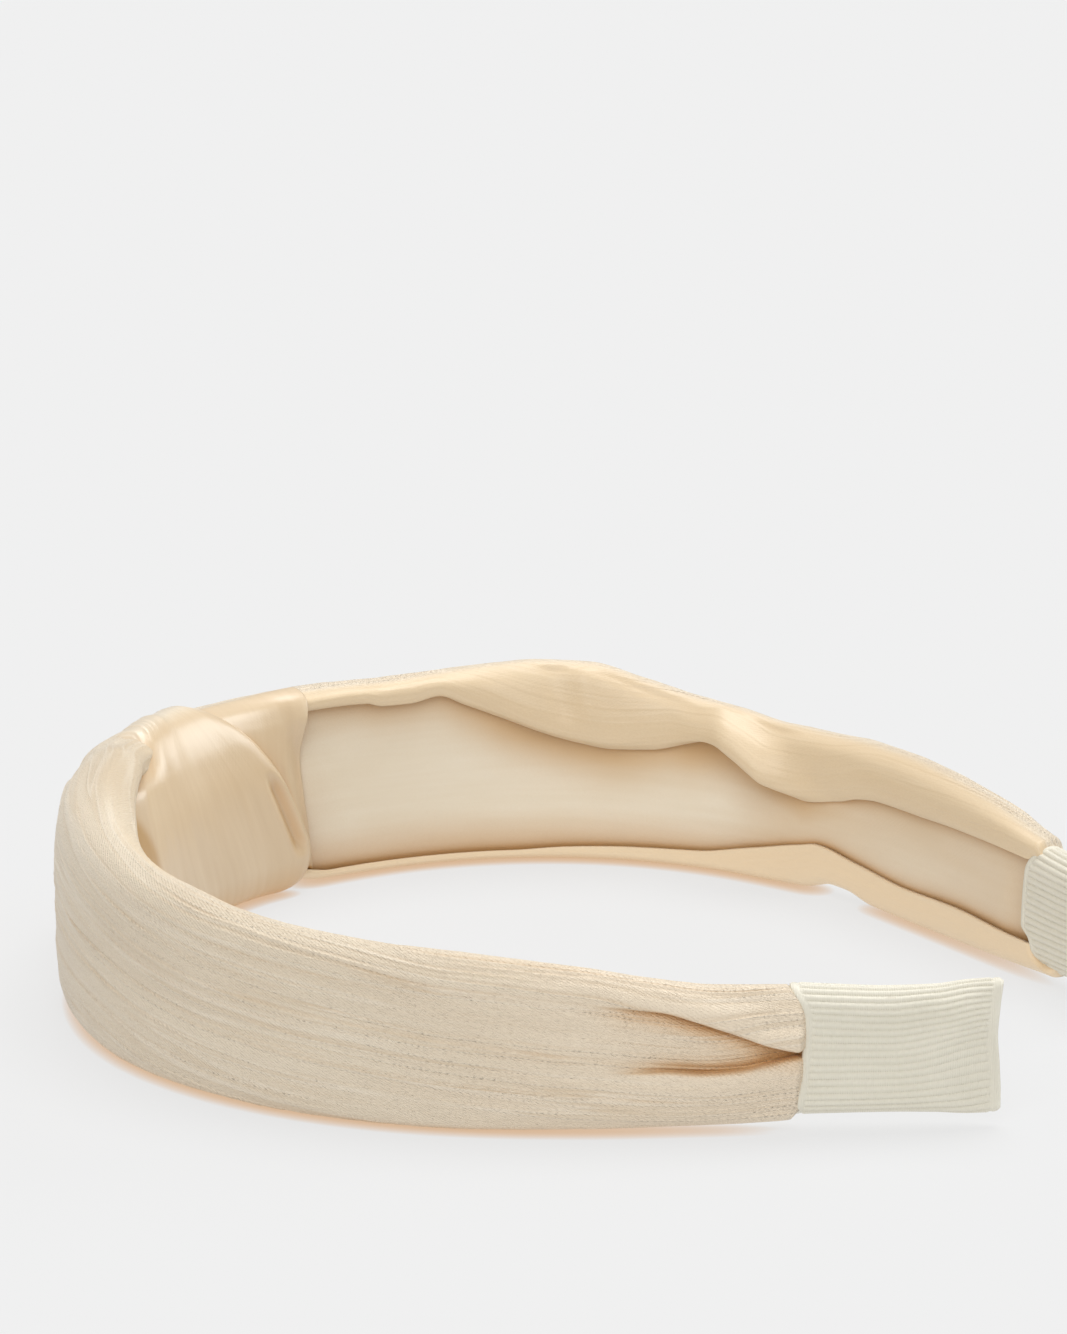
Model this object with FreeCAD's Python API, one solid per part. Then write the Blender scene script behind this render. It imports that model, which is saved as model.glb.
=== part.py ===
import FreeCAD, Part
import math
import os

# ---------------------------------------------------------------------------
# Knotted headband (alice band), millimetres.
# It lies on its lower edge. +Z is up, the U of the band opens toward +X, the
# knot is at the crown toward -X. +Y is the left arm, -Y the right arm.
# s is the arc length along the plastic strip's middle surface, from the crown
# (s = 0) to a tip; n is the distance from that surface, outward positive.
# ---------------------------------------------------------------------------

# --- outline of the band ---
HALF_LENGTH = 184.2          # crown to tip, along the strip
CURV_AT = [0.0, 36.84, 73.68, 110.52, 147.36, 184.2]
CURVATURE = [0.0120, 0.01718, 0.02048, 0.01307, 0.00093, 0.0]   # 1/mm
ORIGIN_X = 63.05              # crown point of the strip to the origin
PITCH = 4.6                  # spacing of the cross sections

# --- flex line: where each arm turns on the crown ---
FLEX_S = 46.0
FLEX_CLEAR = 0.05            # running clearance of the strip's rounded end

# --- plastic strip ---
STRIP_T = 1.4
STRIP_H_CROWN = 23.4
STRIP_H_TIP = 10.4
STRIP_END = 181.0
STRIP_Z_CROWN = 14.6         # height of its middle line at the crown
STRIP_Z_TIP = 10.4           # and at the tips

# --- layers, measured from the strip's middle surface ---
LINING_N = (-1.35, -0.95)
WADDING_N0 = 0.9
WALL = 0.7                   # gathered satin of the cover
GAP = 0.2                    # between layers
COVER_GAP = 1.5              # cover split at the flex line
WADDING_GAP = 1.4
LINING_GAP = 0.6
SEAM = 0.3                   # where the two covers meet under the knot

# --- ribbon tabs ---
RIBBON_S = (158.6, 184.6)
RIBBON_WALL = 0.45
RIBBON_END_S = 183.0         # the pressed end starts here

# --- knot ---
KNOT_S = (-17.0, 19.0)
KNOT_SLANT = 0.46            # lean of its edges, mm along s per mm of height
KNOT_WALL = 0.9

os.makedirs("parts", exist_ok=True)


def table(rows, s):
    if s <= rows[0][0]:
        return rows[0][1]
    for (a, va), (b, vb) in zip(rows, rows[1:]):
        if s <= b:
            t = (s - a) / (b - a)
            return va + (vb - va) * t
    return rows[-1][1]


# --- middle line, integrated from its curvature ---
STEP = 0.1
_line = [(0.0, 0.0, 0.0)]
_n = int(round((HALF_LENGTH + 2.0) / STEP))
for _i in range(_n):
    _x, _y, _a = _line[-1]
    _k = table(list(zip(CURV_AT, CURVATURE)), (_i + 0.5) * STEP)
    _m = _a + _k * STEP / 2
    _line.append((_x + math.sin(_m) * STEP, _y + math.cos(_m) * STEP, _a + _k * STEP))


def frame_at(s):
    """Point (x, y) and turn of the middle line at s; s < 0 is the right arm."""
    side = 1.0 if s >= 0 else -1.0
    q = abs(s) / STEP
    i = min(int(q), len(_line) - 2)
    t = q - i
    x, y, a = [p + (r - p) * t for p, r in zip(_line[i], _line[i + 1])]
    return x, side * y, side * a


def point(s, n, z):
    x, y, a = frame_at(s)
    # outward normal of the middle line
    return FreeCAD.Vector(x - math.cos(a) * n - ORIGIN_X, y + math.sin(a) * n, z)


def stations(s0, s1, extra=()):
    lo, hi = sorted((abs(s0), abs(s1))) if s0 * s1 >= 0 else (None, None)
    grid = []
    k = int(math.floor(min(s0, s1) / PITCH)) - 1
    while k * PITCH < max(s0, s1) + PITCH:
        grid.append(k * PITCH)
        k += 1
    a, b = min(s0, s1), max(s0, s1)
    out = [a] + [g for g in grid if a + 0.9 < g < b - 0.9] + [b]
    out = sorted(set(round(v, 4) for v in list(out) + [e for e in extra if a < e < b]))
    keep = [out[0]]
    for v in out[1:]:
        if v - keep[-1] > 0.35:
            keep.append(v)
    if keep[-1] != out[-1]:
        keep[-1] = out[-1]
    return keep


def loft(ss, section):
    wires = []
    for s in ss:
        pts = [point(s, n, z) for n, z in section(s)]
        wires.append(Part.makePolygon(pts + [pts[0]]))
    solid = Part.makeLoft(wires, True, True)
    if solid.Volume < 0:
        solid.reverse()
    return solid


# --- heights of the cover's edges: top and bottom along each arm ---
TOP = {
    "left": [(0, 30.8), (12, 30.8), (24, 30.4), (40, 29.4), (56, 29.6), (70, 29.9), (80, 27.9),
             (92, 25.8), (104, 24.6), (120, 24.4), (136, 23.8), (148, 22.2), (155.5, 20.2)],
    "right": [(0, 30.8), (27.6, 30.8), (31, 32.5), (42, 32.4), (54, 30.4), (64, 28.4), (76, 26.9),
              (92, 24.9), (108, 23.7), (124, 22.5), (140, 20.5), (150, 19.5), (155.5, 19.2)],
}
BOTTOM = {
    "left": [(0, 1.7), (28, 1.7), (33, 0.0), (104, 0.0), (128, 0.4), (144, 1.0), (155.5, 1.6)],
    "right": [(0, 1.7), (13.8, 1.7), (18.4, 0.0), (120, 0.0), (132, 0.4), (148, 1.0), (155.5, 1.6)],
}
TAIL_TOP, TAIL_BOTTOM = 18.2, 3.0    # gathered end inside the ribbon
TAIL_S = 158.3
OUTER_N = [(0, 4.3), (24, 4.3), (46, 4.0), (80, 3.2), (148, 3.1), (155.5, 2.9)]
BULGE = [(0, 0.4), (24, 0.9), (46, 0.7), (80, 0.3), (155.5, 0.2)]
INNER_N = [(0, -3.3), (24, -3.3), (50, -2.9), (80, -2.4), (155.5, -2.3)]
FLAP_TOP = {
    "left": [(0, 6.0), (40, 6.0), (70, 9.0), (110, 9.5), (130, 7.5), (175, 5.0)],
    "right": [(0, 6.0), (60, 6.5), (120, 6.0), (175, 5.0)],
}
FLAP_BOTTOM = {
    "left": [(0, 4.5), (60, 4.5), (100, 5.5), (130, 5.5), (175, 4.5)],
    "right": [(0, 5.0), (120, 5.0), (175, 4.5)],
}


def env(side, s):
    """Cover envelope at s: outer n, bulge, inner n, bottom z, top z, wall."""
    a = abs(s)
    t = min(1.0, max(0.0, (a - 155.5) / (TAIL_S - 155.5)))
    no = table(OUTER_N, a) * (1 - t) + 1.95 * t
    bu = table(BULGE, a) * (1 - t)
    ni = table(INNER_N, a) * (1 - t) - 1.95 * t
    zb = table(BOTTOM[side], a) * (1 - t) + TAIL_BOTTOM * t
    zt = table(TOP[side], a) * (1 - t) + TAIL_TOP * t
    w = WALL * (1 - t) + 0.42 * t
    return no, bu, ni, zb, zt, w


def cover_section(side, s):
    no, bu, ni, zb, zt, w = env(side, s)
    ft, fb = table(FLAP_TOP[side], abs(s)), table(FLAP_BOTTOM[side], abs(s))
    q = 1.4 if abs(s) < 155.5 else 1.1
    m, h = (zb + zt) / 2, (zt - zb)
    outer = [(ni, zt - ft), (ni, zt - q), (ni + q * 0.8, zt), (no - q * 1.1, zt), (no, zt - q * 1.7),
             (no + bu, m + h * 0.18), (no + bu, m - h * 0.18), (no, zb + q * 1.7), (no - q * 1.1, zb),
             (ni + q * 0.8, zb), (ni, zb + q), (ni, zb + fb)]
    p = q * 0.95
    inner = [(ni + w, zb + fb), (ni + w, zb + w + p * 0.65), (ni + w + p * 0.5, zb + w), (no - q * 1.1 - 0.1, zb + w),
             (no - w, zb + q * 1.7 + 0.1), (no + bu - w, m - h * 0.18), (no + bu - w, m + h * 0.18),
             (no - w, zt - q * 1.7 - 0.1), (no - q * 1.1 - 0.1, zt - w), (ni + w + p * 0.5, zt - w),
             (ni + w, zt - w - p * 0.65), (ni + w, zt - ft)]
    return outer + inner


def wadding_section(side, s):
    no, bu, ni, zb, zt, w = env(side, s)
    m, h = (zb + zt) / 2, (zt - zb)
    e = w + GAP + 0.05
    z0, z1 = zb + e + 0.25, zt - e - 0.25
    return [(WADDING_N0, z0), (no - 1.54 - 0.35, z0), (no - e, zb + 2.9), (no + bu - e, m - h * 0.18),
            (no + bu - e, m + h * 0.18), (no - e, zt - 2.9), (no - 1.54 - 0.35, z1), (WADDING_N0, z1)]


def lining_section(side, s):
    no, bu, ni, zb, zt, w = env(side, s)
    e = 2.3 if abs(s) < 155.5 else 1.3
    return [(LINING_N[0], zb + e), (LINING_N[1], zb + e), (LINING_N[1], zt - e), (LINING_N[0], zt - e)]


# ---------------------------------------------------------------------------
# plastic strip: vertical walls from its plan, tapered by a prism seen along Y
# ---------------------------------------------------------------------------
def strip_plan(s0, s1, start, end):
    """Plan face of the strip between s0 and s1. start/end: round, hollow or flat."""
    ss = stations(s0, s1)
    h = STRIP_T / 2
    r = h + FLEX_CLEAR
    edges = []

    def pt(s, n):
        return point(s, n, 0.0)

    def tangent(s):
        x, y, a = frame_at(s)
        return FreeCAD.Vector(math.sin(a), math.cos(a), 0)

    cut = math.sqrt(r * r - h * h)
    a0 = [pt(s, h) for s in ss]
    b0 = [pt(s, -h) for s in ss]
    if start == "hollow":
        a0[0] = a0[0] + tangent(ss[0]) * cut
        b0[0] = b0[0] + tangent(ss[0]) * cut
    if end == "hollow":
        a0[-1] = a0[-1] - tangent(ss[-1]) * cut
        b0[-1] = b0[-1] - tangent(ss[-1]) * cut
    for p, q in zip(a0, a0[1:]):
        edges.append(Part.LineSegment(p, q).toShape())
    if end == "flat":
        edges.append(Part.LineSegment(a0[-1], b0[-1]).toShape())
    elif end == "round":
        edges.append(Part.Arc(a0[-1], pt(ss[-1], 0) + tangent(ss[-1]) * h, b0[-1]).toShape())
    else:
        edges.append(Part.Arc(a0[-1], pt(ss[-1], 0) - tangent(ss[-1]) * r, b0[-1]).toShape())
    for p, q in zip(b0[::-1], b0[::-1][1:]):
        edges.append(Part.LineSegment(p, q).toShape())
    if start == "flat":
        edges.append(Part.LineSegment(b0[0], a0[0]).toShape())
    elif start == "round":
        edges.append(Part.Arc(b0[0], pt(ss[0], 0) - tangent(ss[0]) * h, a0[0]).toShape())
    else:
        edges.append(Part.Arc(b0[0], pt(ss[0], 0) + tangent(ss[0]) * r, a0[0]).toShape())
    return Part.Face(Part.Wire(Part.__sortEdges__(edges)))


def strip_z(s):
    a = abs(s)
    t = max(0.0, (a - 50.0) / (STRIP_END - 50.0))
    h = STRIP_H_CROWN + (STRIP_H_TIP - STRIP_H_CROWN) * t
    x = frame_at(a)[0]
    zc = STRIP_Z_CROWN + (STRIP_Z_TIP - STRIP_Z_CROWN) * x / frame_at(STRIP_END)[0]
    round_off = 0.0
    if a > STRIP_END - 4.0:
        u = (a - STRIP_END + 4.0) / 4.0
        round_off = 3.4 * (1.0 - math.sqrt(max(0.0, 1.0 - u * u)))
    return zc - h / 2 + round_off, zc + h / 2 - round_off


def strip_solid(s0, s1, start, end):
    body = strip_plan(s0, s1, start, end).extrude(FreeCAD.Vector(0, 0, 60))
    a, b = min(abs(s0), abs(s1)), max(abs(s0), abs(s1))
    if s0 * s1 < 0:
        a = 0.0
    at = [a + (b - a) * i / 14.0 for i in range(15)]
    if b >= STRIP_END - 0.01:
        at += [b - 3.0, b - 2.0, b - 1.2, b - 0.6, b - 0.2]
    at = sorted(set(round(v, 3) for v in at))
    lowp, highp = [], []
    for s in at:
        x = frame_at(s)[0] - ORIGIN_X
        z0, z1 = strip_z(s)
        lowp.append((x, z0))
        highp.append((x, z1))
    lowp = [(lowp[0][0] - 6.0, lowp[0][1])] + lowp + [(lowp[-1][0] + 6.0, lowp[-1][1])]
    highp = [(highp[0][0] - 6.0, highp[0][1])] + highp + [(highp[-1][0] + 6.0, highp[-1][1])]
    pts = [FreeCAD.Vector(x, -100, z) for x, z in lowp + highp[::-1]]
    prism = Part.Face(Part.makePolygon(pts + [pts[0]])).extrude(FreeCAD.Vector(0, 200, 0))
    return body.common(prism).Solids[0]


nodes = {}
nodes["core_strip_crown"] = strip_solid(-FLEX_S, FLEX_S, "round", "round")
nodes["core_strip_left_arm"] = strip_solid(FLEX_S, STRIP_END, "hollow", "flat")
nodes["core_strip_right_arm"] = strip_solid(-STRIP_END, -FLEX_S, "flat", "hollow")

# ---------------------------------------------------------------------------
# soft layers
# ---------------------------------------------------------------------------
def sided(side, a, b):
    return (a, b) if side == "left" else (-b, -a)


def crown_section(fn):
    return lambda s: fn("left" if s >= 0 else "right", s)


nodes["wadding_crown"] = loft(stations(-FLEX_S + WADDING_GAP / 2, FLEX_S - WADDING_GAP / 2), crown_section(wadding_section))
nodes["lining_crown"] = loft(stations(-FLEX_S + LINING_GAP / 2, FLEX_S - LINING_GAP / 2), crown_section(lining_section))
for side in ("left", "right"):
    nodes["wadding_%s_arm" % side] = loft(
        stations(*sided(side, FLEX_S + WADDING_GAP / 2, 154.0)), lambda s: wadding_section(side, s))
    nodes["lining_%s_arm" % side] = loft(
        stations(*sided(side, FLEX_S + LINING_GAP / 2, 172.0), extra=(155.5, TAIL_S, -155.5, -TAIL_S)),
        lambda s: lining_section(side, s))
    nodes["cover_crown_%s" % side] = loft(
        stations(*sided(side, SEAM / 2, FLEX_S - COVER_GAP / 2)), lambda s: cover_section(side, s))
    nodes["cover_%s_arm" % side] = loft(
        stations(*sided(side, FLEX_S + COVER_GAP / 2, 174.0), extra=(155.5, TAIL_S, -155.5, -TAIL_S)),
        lambda s: cover_section(side, s))

# ---------------------------------------------------------------------------
# ribbon tabs: a flattened sock of grosgrain over each tip, pressed shut
# ---------------------------------------------------------------------------
RIB_T = [(158.6, 2.75), (170.0, 2.6), (176.0, 2.45), (179.0, 2.0), (181.0, 1.6), (184.6, 0.95)]
RIB_TOP = [(158.6, 19.2), (170.0, 18.8), (178.0, 18.9), (184.6, 19.4)]
RIB_BOTTOM = [(158.6, 2.0), (170.0, 2.3), (178.0, 2.1), (184.6, 1.7)]


def ribbon_outer(s):
    a = abs(s)
    t, z0, z1 = table(RIB_T, a), table(RIB_BOTTOM, a), table(RIB_TOP, a)
    c = min(1.3, t * 0.7)
    return [(-t, z0 + c), (-t, z1 - c), (-t + c, z1), (t - c, z1), (t, z1 - c), (t, z0 + c), (t - c, z0), (-t + c, z0)]


def ribbon_inner(s):
    a = abs(s)
    t, z0, z1 = table(RIB_T, a) - RIBBON_WALL, table(RIB_BOTTOM, a) + RIBBON_WALL, table(RIB_TOP, a) - RIBBON_WALL
    c = min(1.1, t * 0.7)
    return [(-t, z0 + c), (-t, z1 - c), (-t + c, z1), (t - c, z1), (t, z1 - c), (t, z0 + c), (t - c, z0), (-t + c, z0)]


for side in ("left", "right"):
    rs = [158.6, 162.0, 166.0, 170.0, 173.0, 176.0, 179.0, 181.0, 183.0, 184.6]
    sg = 1 if side == "left" else -1
    body = loft(sorted(sg * v for v in rs), ribbon_outer)
    hollow = loft(sorted(sg * v for v in [157.0] + rs[:8] + [182.6]), ribbon_inner)
    nodes["ribbon_tab_%s" % side] = body.cut(hollow).Solids[0]

# ---------------------------------------------------------------------------
# knot: a folded bundle in front of the crown, held by a wrap taken round the
# whole band; the wrap's edges lean, and its underside is flat to stand on
# ---------------------------------------------------------------------------
def oval(n0, n1, z0, z1, flat):
    """Closed section: flat back at n0, round belly out to n1."""
    zm, hz = (z0 + z1) / 2, (z1 - z0) / 2
    pts = [(n0, z0 + 2.2), (n0, z1 - 2.2), (n0 + 1.3, z1 - 0.35), (n0 + 3.2, z1)]
    for i in range(0, 11):
        a = math.radians(80 - 16 * i)
        pts.append((flat + (n1 - flat) * math.cos(a), zm + hz * math.copysign(abs(math.sin(a)) ** 0.85, math.sin(a))))
    pts += [(n0 + 3.2, z0), (n0 + 1.3, z0 + 0.35)]
    return pts


def knot_out(s):
    u = (s - 1.0) / 22.0
    return 12.4 - 2.6 * u * u


wrap_s = stations(KNOT_S[0] - 9.5, KNOT_S[1] + 9.5)
wrap = loft(wrap_s, lambda s: oval(-4.5, knot_out(s), -0.25, 32.4, 2.5))
wrap_hole = loft([wrap_s[0] - 1.0] + wrap_s[1:-1] + [wrap_s[-1] + 1.0],
                 lambda s: oval(-4.5 + KNOT_WALL, knot_out(s) - KNOT_WALL, 0.9, 32.4 - KNOT_WALL, 2.5))
wrap = wrap.cut(wrap_hole)


def side_cut(s_mid, sign):
    """A block beyond the wrap's leaning edge, which passes s_mid at mid height."""
    x, y, a = frame_at(s_mid)
    tan = FreeCAD.Vector(math.sin(a), math.cos(a), 0) * sign
    nor = FreeCAD.Vector(-math.cos(a), math.sin(a), 0)
    c = FreeCAD.Vector(x - ORIGIN_X, y, 16.0)
    up = FreeCAD.Vector(0, 0, 1)
    lean = FreeCAD.Vector(math.sin(a), math.cos(a), 0) * (-KNOT_SLANT)
    e = (up + lean) * 30.0
    base = [c + e - nor * 40, c + e + nor * 40, c - e + nor * 40, c - e - nor * 40]
    return Part.Face(Part.makePolygon(base + [base[0]])).extrude(tan * 60.0)


wrap = wrap.cut(side_cut(KNOT_S[1], 1.0)).cut(side_cut(KNOT_S[0], -1.0))
wrap = wrap.cut(Part.makeBox(200, 200, 20, FreeCAD.Vector(-120, -100, -20)))
nodes["knot_wrap"] = max(wrap.Solids, key=lambda q: q.Volume)


def bundle_section(s):
    u = (s - 1.0) / 15.0
    n1 = knot_out(s) - KNOT_WALL - 0.25
    squeeze = 1.0 - 0.18 * u * u
    zm, hz = 16.3, 13.6 * squeeze
    pts = []
    n0 = 5.1
    pts.append((n0, zm + hz * 0.86))
    for i in range(0, 9):
        a = math.radians(72 - 18 * i)
        pts.append((n0 + (n1 - n0 - 0.25) * math.cos(a) ** 0.8, zm + hz * 0.93 * math.sin(a)))
    pts.append((n0, zm - hz * 0.86))
    return pts


nodes["knot_bundle"] = loft(stations(-14.0, 16.0), bundle_section)

# ---------------------------------------------------------------------------
box = FreeCAD.BoundBox()
for name in sorted(nodes):
    shape = nodes[name]
    if shape.ShapeType != "Solid":
        shape = shape.Solids[0]
    assert shape.isValid() and shape.Volume > 0, name
    box.add(shape.BoundBox)
    shape.exportStep("parts/%s.step" % name)
    print("%-24s %9.1f mm3  faces %d" % (name, shape.Volume, len(shape.Faces)))
print("box", [round(v, 3) for v in (box.XMin, box.XMax, box.YMin, box.YMax, box.ZMin, box.ZMax)])
print("centre x", round((box.XMin + box.XMax) / 2, 4), "centre y", round((box.YMin + box.YMax) / 2, 4))
px, py, pa = frame_at(FLEX_S)
print("flex line at", round(px - ORIGIN_X, 4), round(py, 4), "turn", round(math.degrees(pa), 2))
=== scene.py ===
import math

import bpy
import numpy as np
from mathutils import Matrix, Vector


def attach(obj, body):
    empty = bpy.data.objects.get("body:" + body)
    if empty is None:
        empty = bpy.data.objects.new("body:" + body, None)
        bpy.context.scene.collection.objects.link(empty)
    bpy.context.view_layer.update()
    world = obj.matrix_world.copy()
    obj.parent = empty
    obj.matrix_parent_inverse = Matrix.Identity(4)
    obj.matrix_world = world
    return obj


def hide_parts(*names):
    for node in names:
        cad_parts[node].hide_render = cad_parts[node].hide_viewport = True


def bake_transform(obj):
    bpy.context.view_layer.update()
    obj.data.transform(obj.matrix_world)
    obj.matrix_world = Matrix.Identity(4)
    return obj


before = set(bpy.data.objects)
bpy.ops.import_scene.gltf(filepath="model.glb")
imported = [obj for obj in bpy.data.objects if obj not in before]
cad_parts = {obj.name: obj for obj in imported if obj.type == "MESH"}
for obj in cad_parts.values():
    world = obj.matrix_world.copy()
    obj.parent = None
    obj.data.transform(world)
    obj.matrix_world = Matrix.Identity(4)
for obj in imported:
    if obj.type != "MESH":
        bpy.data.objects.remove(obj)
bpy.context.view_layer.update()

# ---------------------------------------------------------------------------
# Lengths below are millimetres in the CAD frame until a mesh is written.
# s: arc length from the crown along the strip (+ left arm, - right arm)
# n: distance outward from the strip's middle surface, z: height
# ---------------------------------------------------------------------------
CURV_AT = [0.0, 36.84, 73.68, 110.52, 147.36, 184.2]
CURVATURE = [0.0120, 0.01718, 0.02048, 0.01307, 0.00093, 0.0]
ORIGIN_X = 63.05


def _line():
    ds = 0.1
    s = np.arange(0, 192.0, ds)
    k = np.interp(s + ds / 2, CURV_AT, CURVATURE)
    a = np.concatenate([[0], np.cumsum(k * ds)])[: len(s)]
    m = a + k * ds / 2
    x = np.concatenate([[0], np.cumsum(np.sin(m) * ds)])[: len(s)]
    y = np.concatenate([[0], np.cumsum(np.cos(m) * ds)])[: len(s)]
    return s, x, y, a


LS, LX, LY, LA = _line()


def P(s, n, z):
    """World points in metres. s is signed."""
    s, n, z = np.broadcast_arrays(np.asarray(s, float), np.asarray(n, float), np.asarray(z, float))
    q = np.abs(s)
    sg = np.where(s >= 0, 1.0, -1.0)
    x = np.interp(q, LS, LX)
    y = np.interp(q, LS, LY) * sg
    a = np.interp(q, LS, LA) * sg
    return np.stack([x - np.cos(a) * n - ORIGIN_X, y + np.sin(a) * n, z], -1) / 1000.0


def ip(rows, x):
    """Monotone cubic interpolation of a table."""
    r = np.array(rows, float)
    X, Y = r[:, 0], r[:, 1]
    h = np.diff(X)
    d = np.diff(Y) / h
    m = np.zeros(len(X))
    for i in range(1, len(X) - 1):
        if d[i - 1] * d[i] > 0:
            w1, w2 = 2 * h[i] + h[i - 1], h[i] + 2 * h[i - 1]
            m[i] = (w1 + w2) / (w1 / d[i - 1] + w2 / d[i])
    m[0], m[-1] = d[0], d[-1]
    x = np.asarray(x, float)
    xc = np.clip(x, X[0], X[-1])
    j = np.clip(np.searchsorted(X, xc, side="right") - 1, 0, len(h) - 1)
    t = (xc - X[j]) / h[j]
    return ((2 * t**3 - 3 * t**2 + 1) * Y[j] + (t**3 - 2 * t**2 + t) * h[j] * m[j]
            + (-2 * t**3 + 3 * t**2) * Y[j + 1] + (t**3 - t**2) * h[j] * m[j + 1])


def step(x, a, b):
    t = np.clip((np.asarray(x, float) - a) / (b - a), 0, 1)
    return t * t * (3 - 2 * t)


_noise = {}


def noise(x, y, seed):
    """Smooth value noise, about -1 to 1."""
    if seed not in _noise:
        _noise[seed] = np.random.RandomState(seed).rand(256, 256) * 2 - 1
    tab = _noise[seed]
    x, y = np.broadcast_arrays(np.asarray(x, float), np.asarray(y, float))
    xi, yi = np.floor(x).astype(int), np.floor(y).astype(int)
    fx, fy = x - xi, y - yi
    fx = fx**3 * (fx * (fx * 6 - 15) + 10)
    fy = fy**3 * (fy * (fy * 6 - 15) + 10)
    g = lambda a, b: tab[a % 256, b % 256]
    return ((g(xi, yi) * (1 - fx) + g(xi + 1, yi) * fx) * (1 - fy)
            + (g(xi, yi + 1) * (1 - fx) + g(xi + 1, yi + 1) * fx) * fy)


def spline(ctrl, M, closed=False, per=14, weight=None):
    """ctrl (K, C, 2) -> (K, M, 2) evenly spaced along each section, and its length."""
    c = np.asarray(ctrl, float)
    if closed:
        p = np.concatenate([c[:, -1:], c, c[:, :2]], 1)
    else:
        p = np.concatenate([2 * c[:, :1] - c[:, 1:2], c, 2 * c[:, -1:] - c[:, -2:-1]], 1)
    out = []
    t = np.linspace(0, 1, per, endpoint=False)[None, :, None]
    for i in range(p.shape[1] - 3):
        p0, p1, p2, p3 = [p[:, i + j][:, None] for j in range(4)]
        d1 = np.maximum(np.linalg.norm(p1 - p0, axis=-1, keepdims=True), 1e-6) ** 0.5
        d2 = np.maximum(np.linalg.norm(p2 - p1, axis=-1, keepdims=True), 1e-6) ** 0.5
        d3 = np.maximum(np.linalg.norm(p3 - p2, axis=-1, keepdims=True), 1e-6) ** 0.5
        m1 = (p1 - p0) / d1 - (p2 - p0) / (d1 + d2) + (p2 - p1) / d2
        m2 = (p2 - p1) / d2 - (p3 - p1) / (d2 + d3) + (p3 - p2) / d3
        m1, m2 = m1 * d2, m2 * d2
        out.append((2 * t**3 - 3 * t**2 + 1) * p1 + (t**3 - 2 * t**2 + t) * m1
                   + (-2 * t**3 + 3 * t**2) * p2 + (t**3 - t**2) * m2)
    out.append(p[:, -2][:, None])
    d = np.concatenate(out, 1)
    ln = np.concatenate([np.zeros((len(d), 1)), np.cumsum(np.linalg.norm(np.diff(d, axis=1), axis=-1), 1)], 1)
    res = np.zeros((len(d), M, 2))
    u = np.linspace(0, 1, M, endpoint=not closed)
    for k in range(len(d)):
        L = ln[k, -1]
        res[k, :, 0] = np.interp(u * L, ln[k], d[k, :, 0])
        res[k, :, 1] = np.interp(u * L, ln[k], d[k, :, 1])
    return res, ln[:, -1]


def normals2(B, closed=False):
    """Outward unit normal of each section in (n, z)."""
    if closed:
        t = np.roll(B, -1, 1) - np.roll(B, 1, 1)
    else:
        t = np.gradient(B, axis=1)
    t /= np.maximum(np.linalg.norm(t, axis=-1, keepdims=True), 1e-9)
    return np.stack([-t[..., 1], t[..., 0]], -1)


def grid_faces(K, M, off=0, flip=False, wrap=False):
    i = np.arange(K - 1)[:, None]
    j = np.arange(M if wrap else M - 1)[None, :]
    j2 = (j + 1) % M
    a, b, c, d = [np.broadcast_to(v, (K - 1, j.shape[1])) + off
                  for v in (i * M + j, i * M + j2, (i + 1) * M + j2, (i + 1) * M + j)]
    f = np.stack([a, b, c, d], -1).reshape(-1, 4)
    return f[:, ::-1] if flip else f


def strip_faces(a, b, flip=False):
    f = np.stack([a[:-1], a[1:], b[1:], b[:-1]], -1)
    return f[:, ::-1] if flip else f


def make(name, V, F, UV):
    me = bpy.data.meshes.new(name)
    me.from_pydata(V.tolist(), [], F.tolist())
    me.polygons.foreach_set("use_smooth", np.ones(len(me.polygons), bool))
    lay = me.uv_layers.new(name="UVMap")
    idx = np.zeros(len(me.loops), int)
    me.loops.foreach_get("vertex_index", idx)
    lay.data.foreach_set("uv", UV[idx].astype(np.float32).ravel())
    me.update()
    # outward normals
    me.calc_loop_triangles()
    tri = np.zeros(len(me.loop_triangles) * 3, int)
    me.loop_triangles.foreach_get("vertices", tri)
    T = V[tri.reshape(-1, 3)]
    vol = np.einsum("ij,ij->i", T[:, 0], np.cross(T[:, 1], T[:, 2])).sum()
    if vol < 0:
        me.flip_normals()
    o = bpy.data.objects.new(name, me)
    bpy.context.scene.collection.objects.link(o)
    return o


def thin(name, O, I, uv):
    """Closed thin solid from an outer and an inner grid."""
    K, M = O.shape[:2]
    V = np.concatenate([O.reshape(-1, 3), I.reshape(-1, 3)])
    n = K * M
    F = [grid_faces(K, M), grid_faces(K, M, n, True)]
    ks, ms = np.arange(K), np.arange(M)
    F.append(strip_faces(ks * M, ks * M + n))
    F.append(strip_faces(ks * M + M - 1, ks * M + M - 1 + n, True))
    F.append(strip_faces(ms, ms + n, True))
    F.append(strip_faces((K - 1) * M + ms, (K - 1) * M + ms + n))
    return make(name, V, np.concatenate(F), np.concatenate([uv.reshape(-1, 2)] * 2))


def ring(name, O, I, uv):
    """Closed band: grids wrap round in their second index."""
    K, M = O.shape[:2]
    V = np.concatenate([O.reshape(-1, 3), I.reshape(-1, 3)])
    n = K * M
    ms = np.append(np.arange(M), 0)
    F = [grid_faces(K, M, 0, False, True), grid_faces(K, M, n, True, True),
         strip_faces(ms, ms + n, True), strip_faces((K - 1) * M + ms, (K - 1) * M + ms + n)]
    return make(name, V, np.concatenate(F), np.concatenate([uv.reshape(-1, 2)] * 2))


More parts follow.
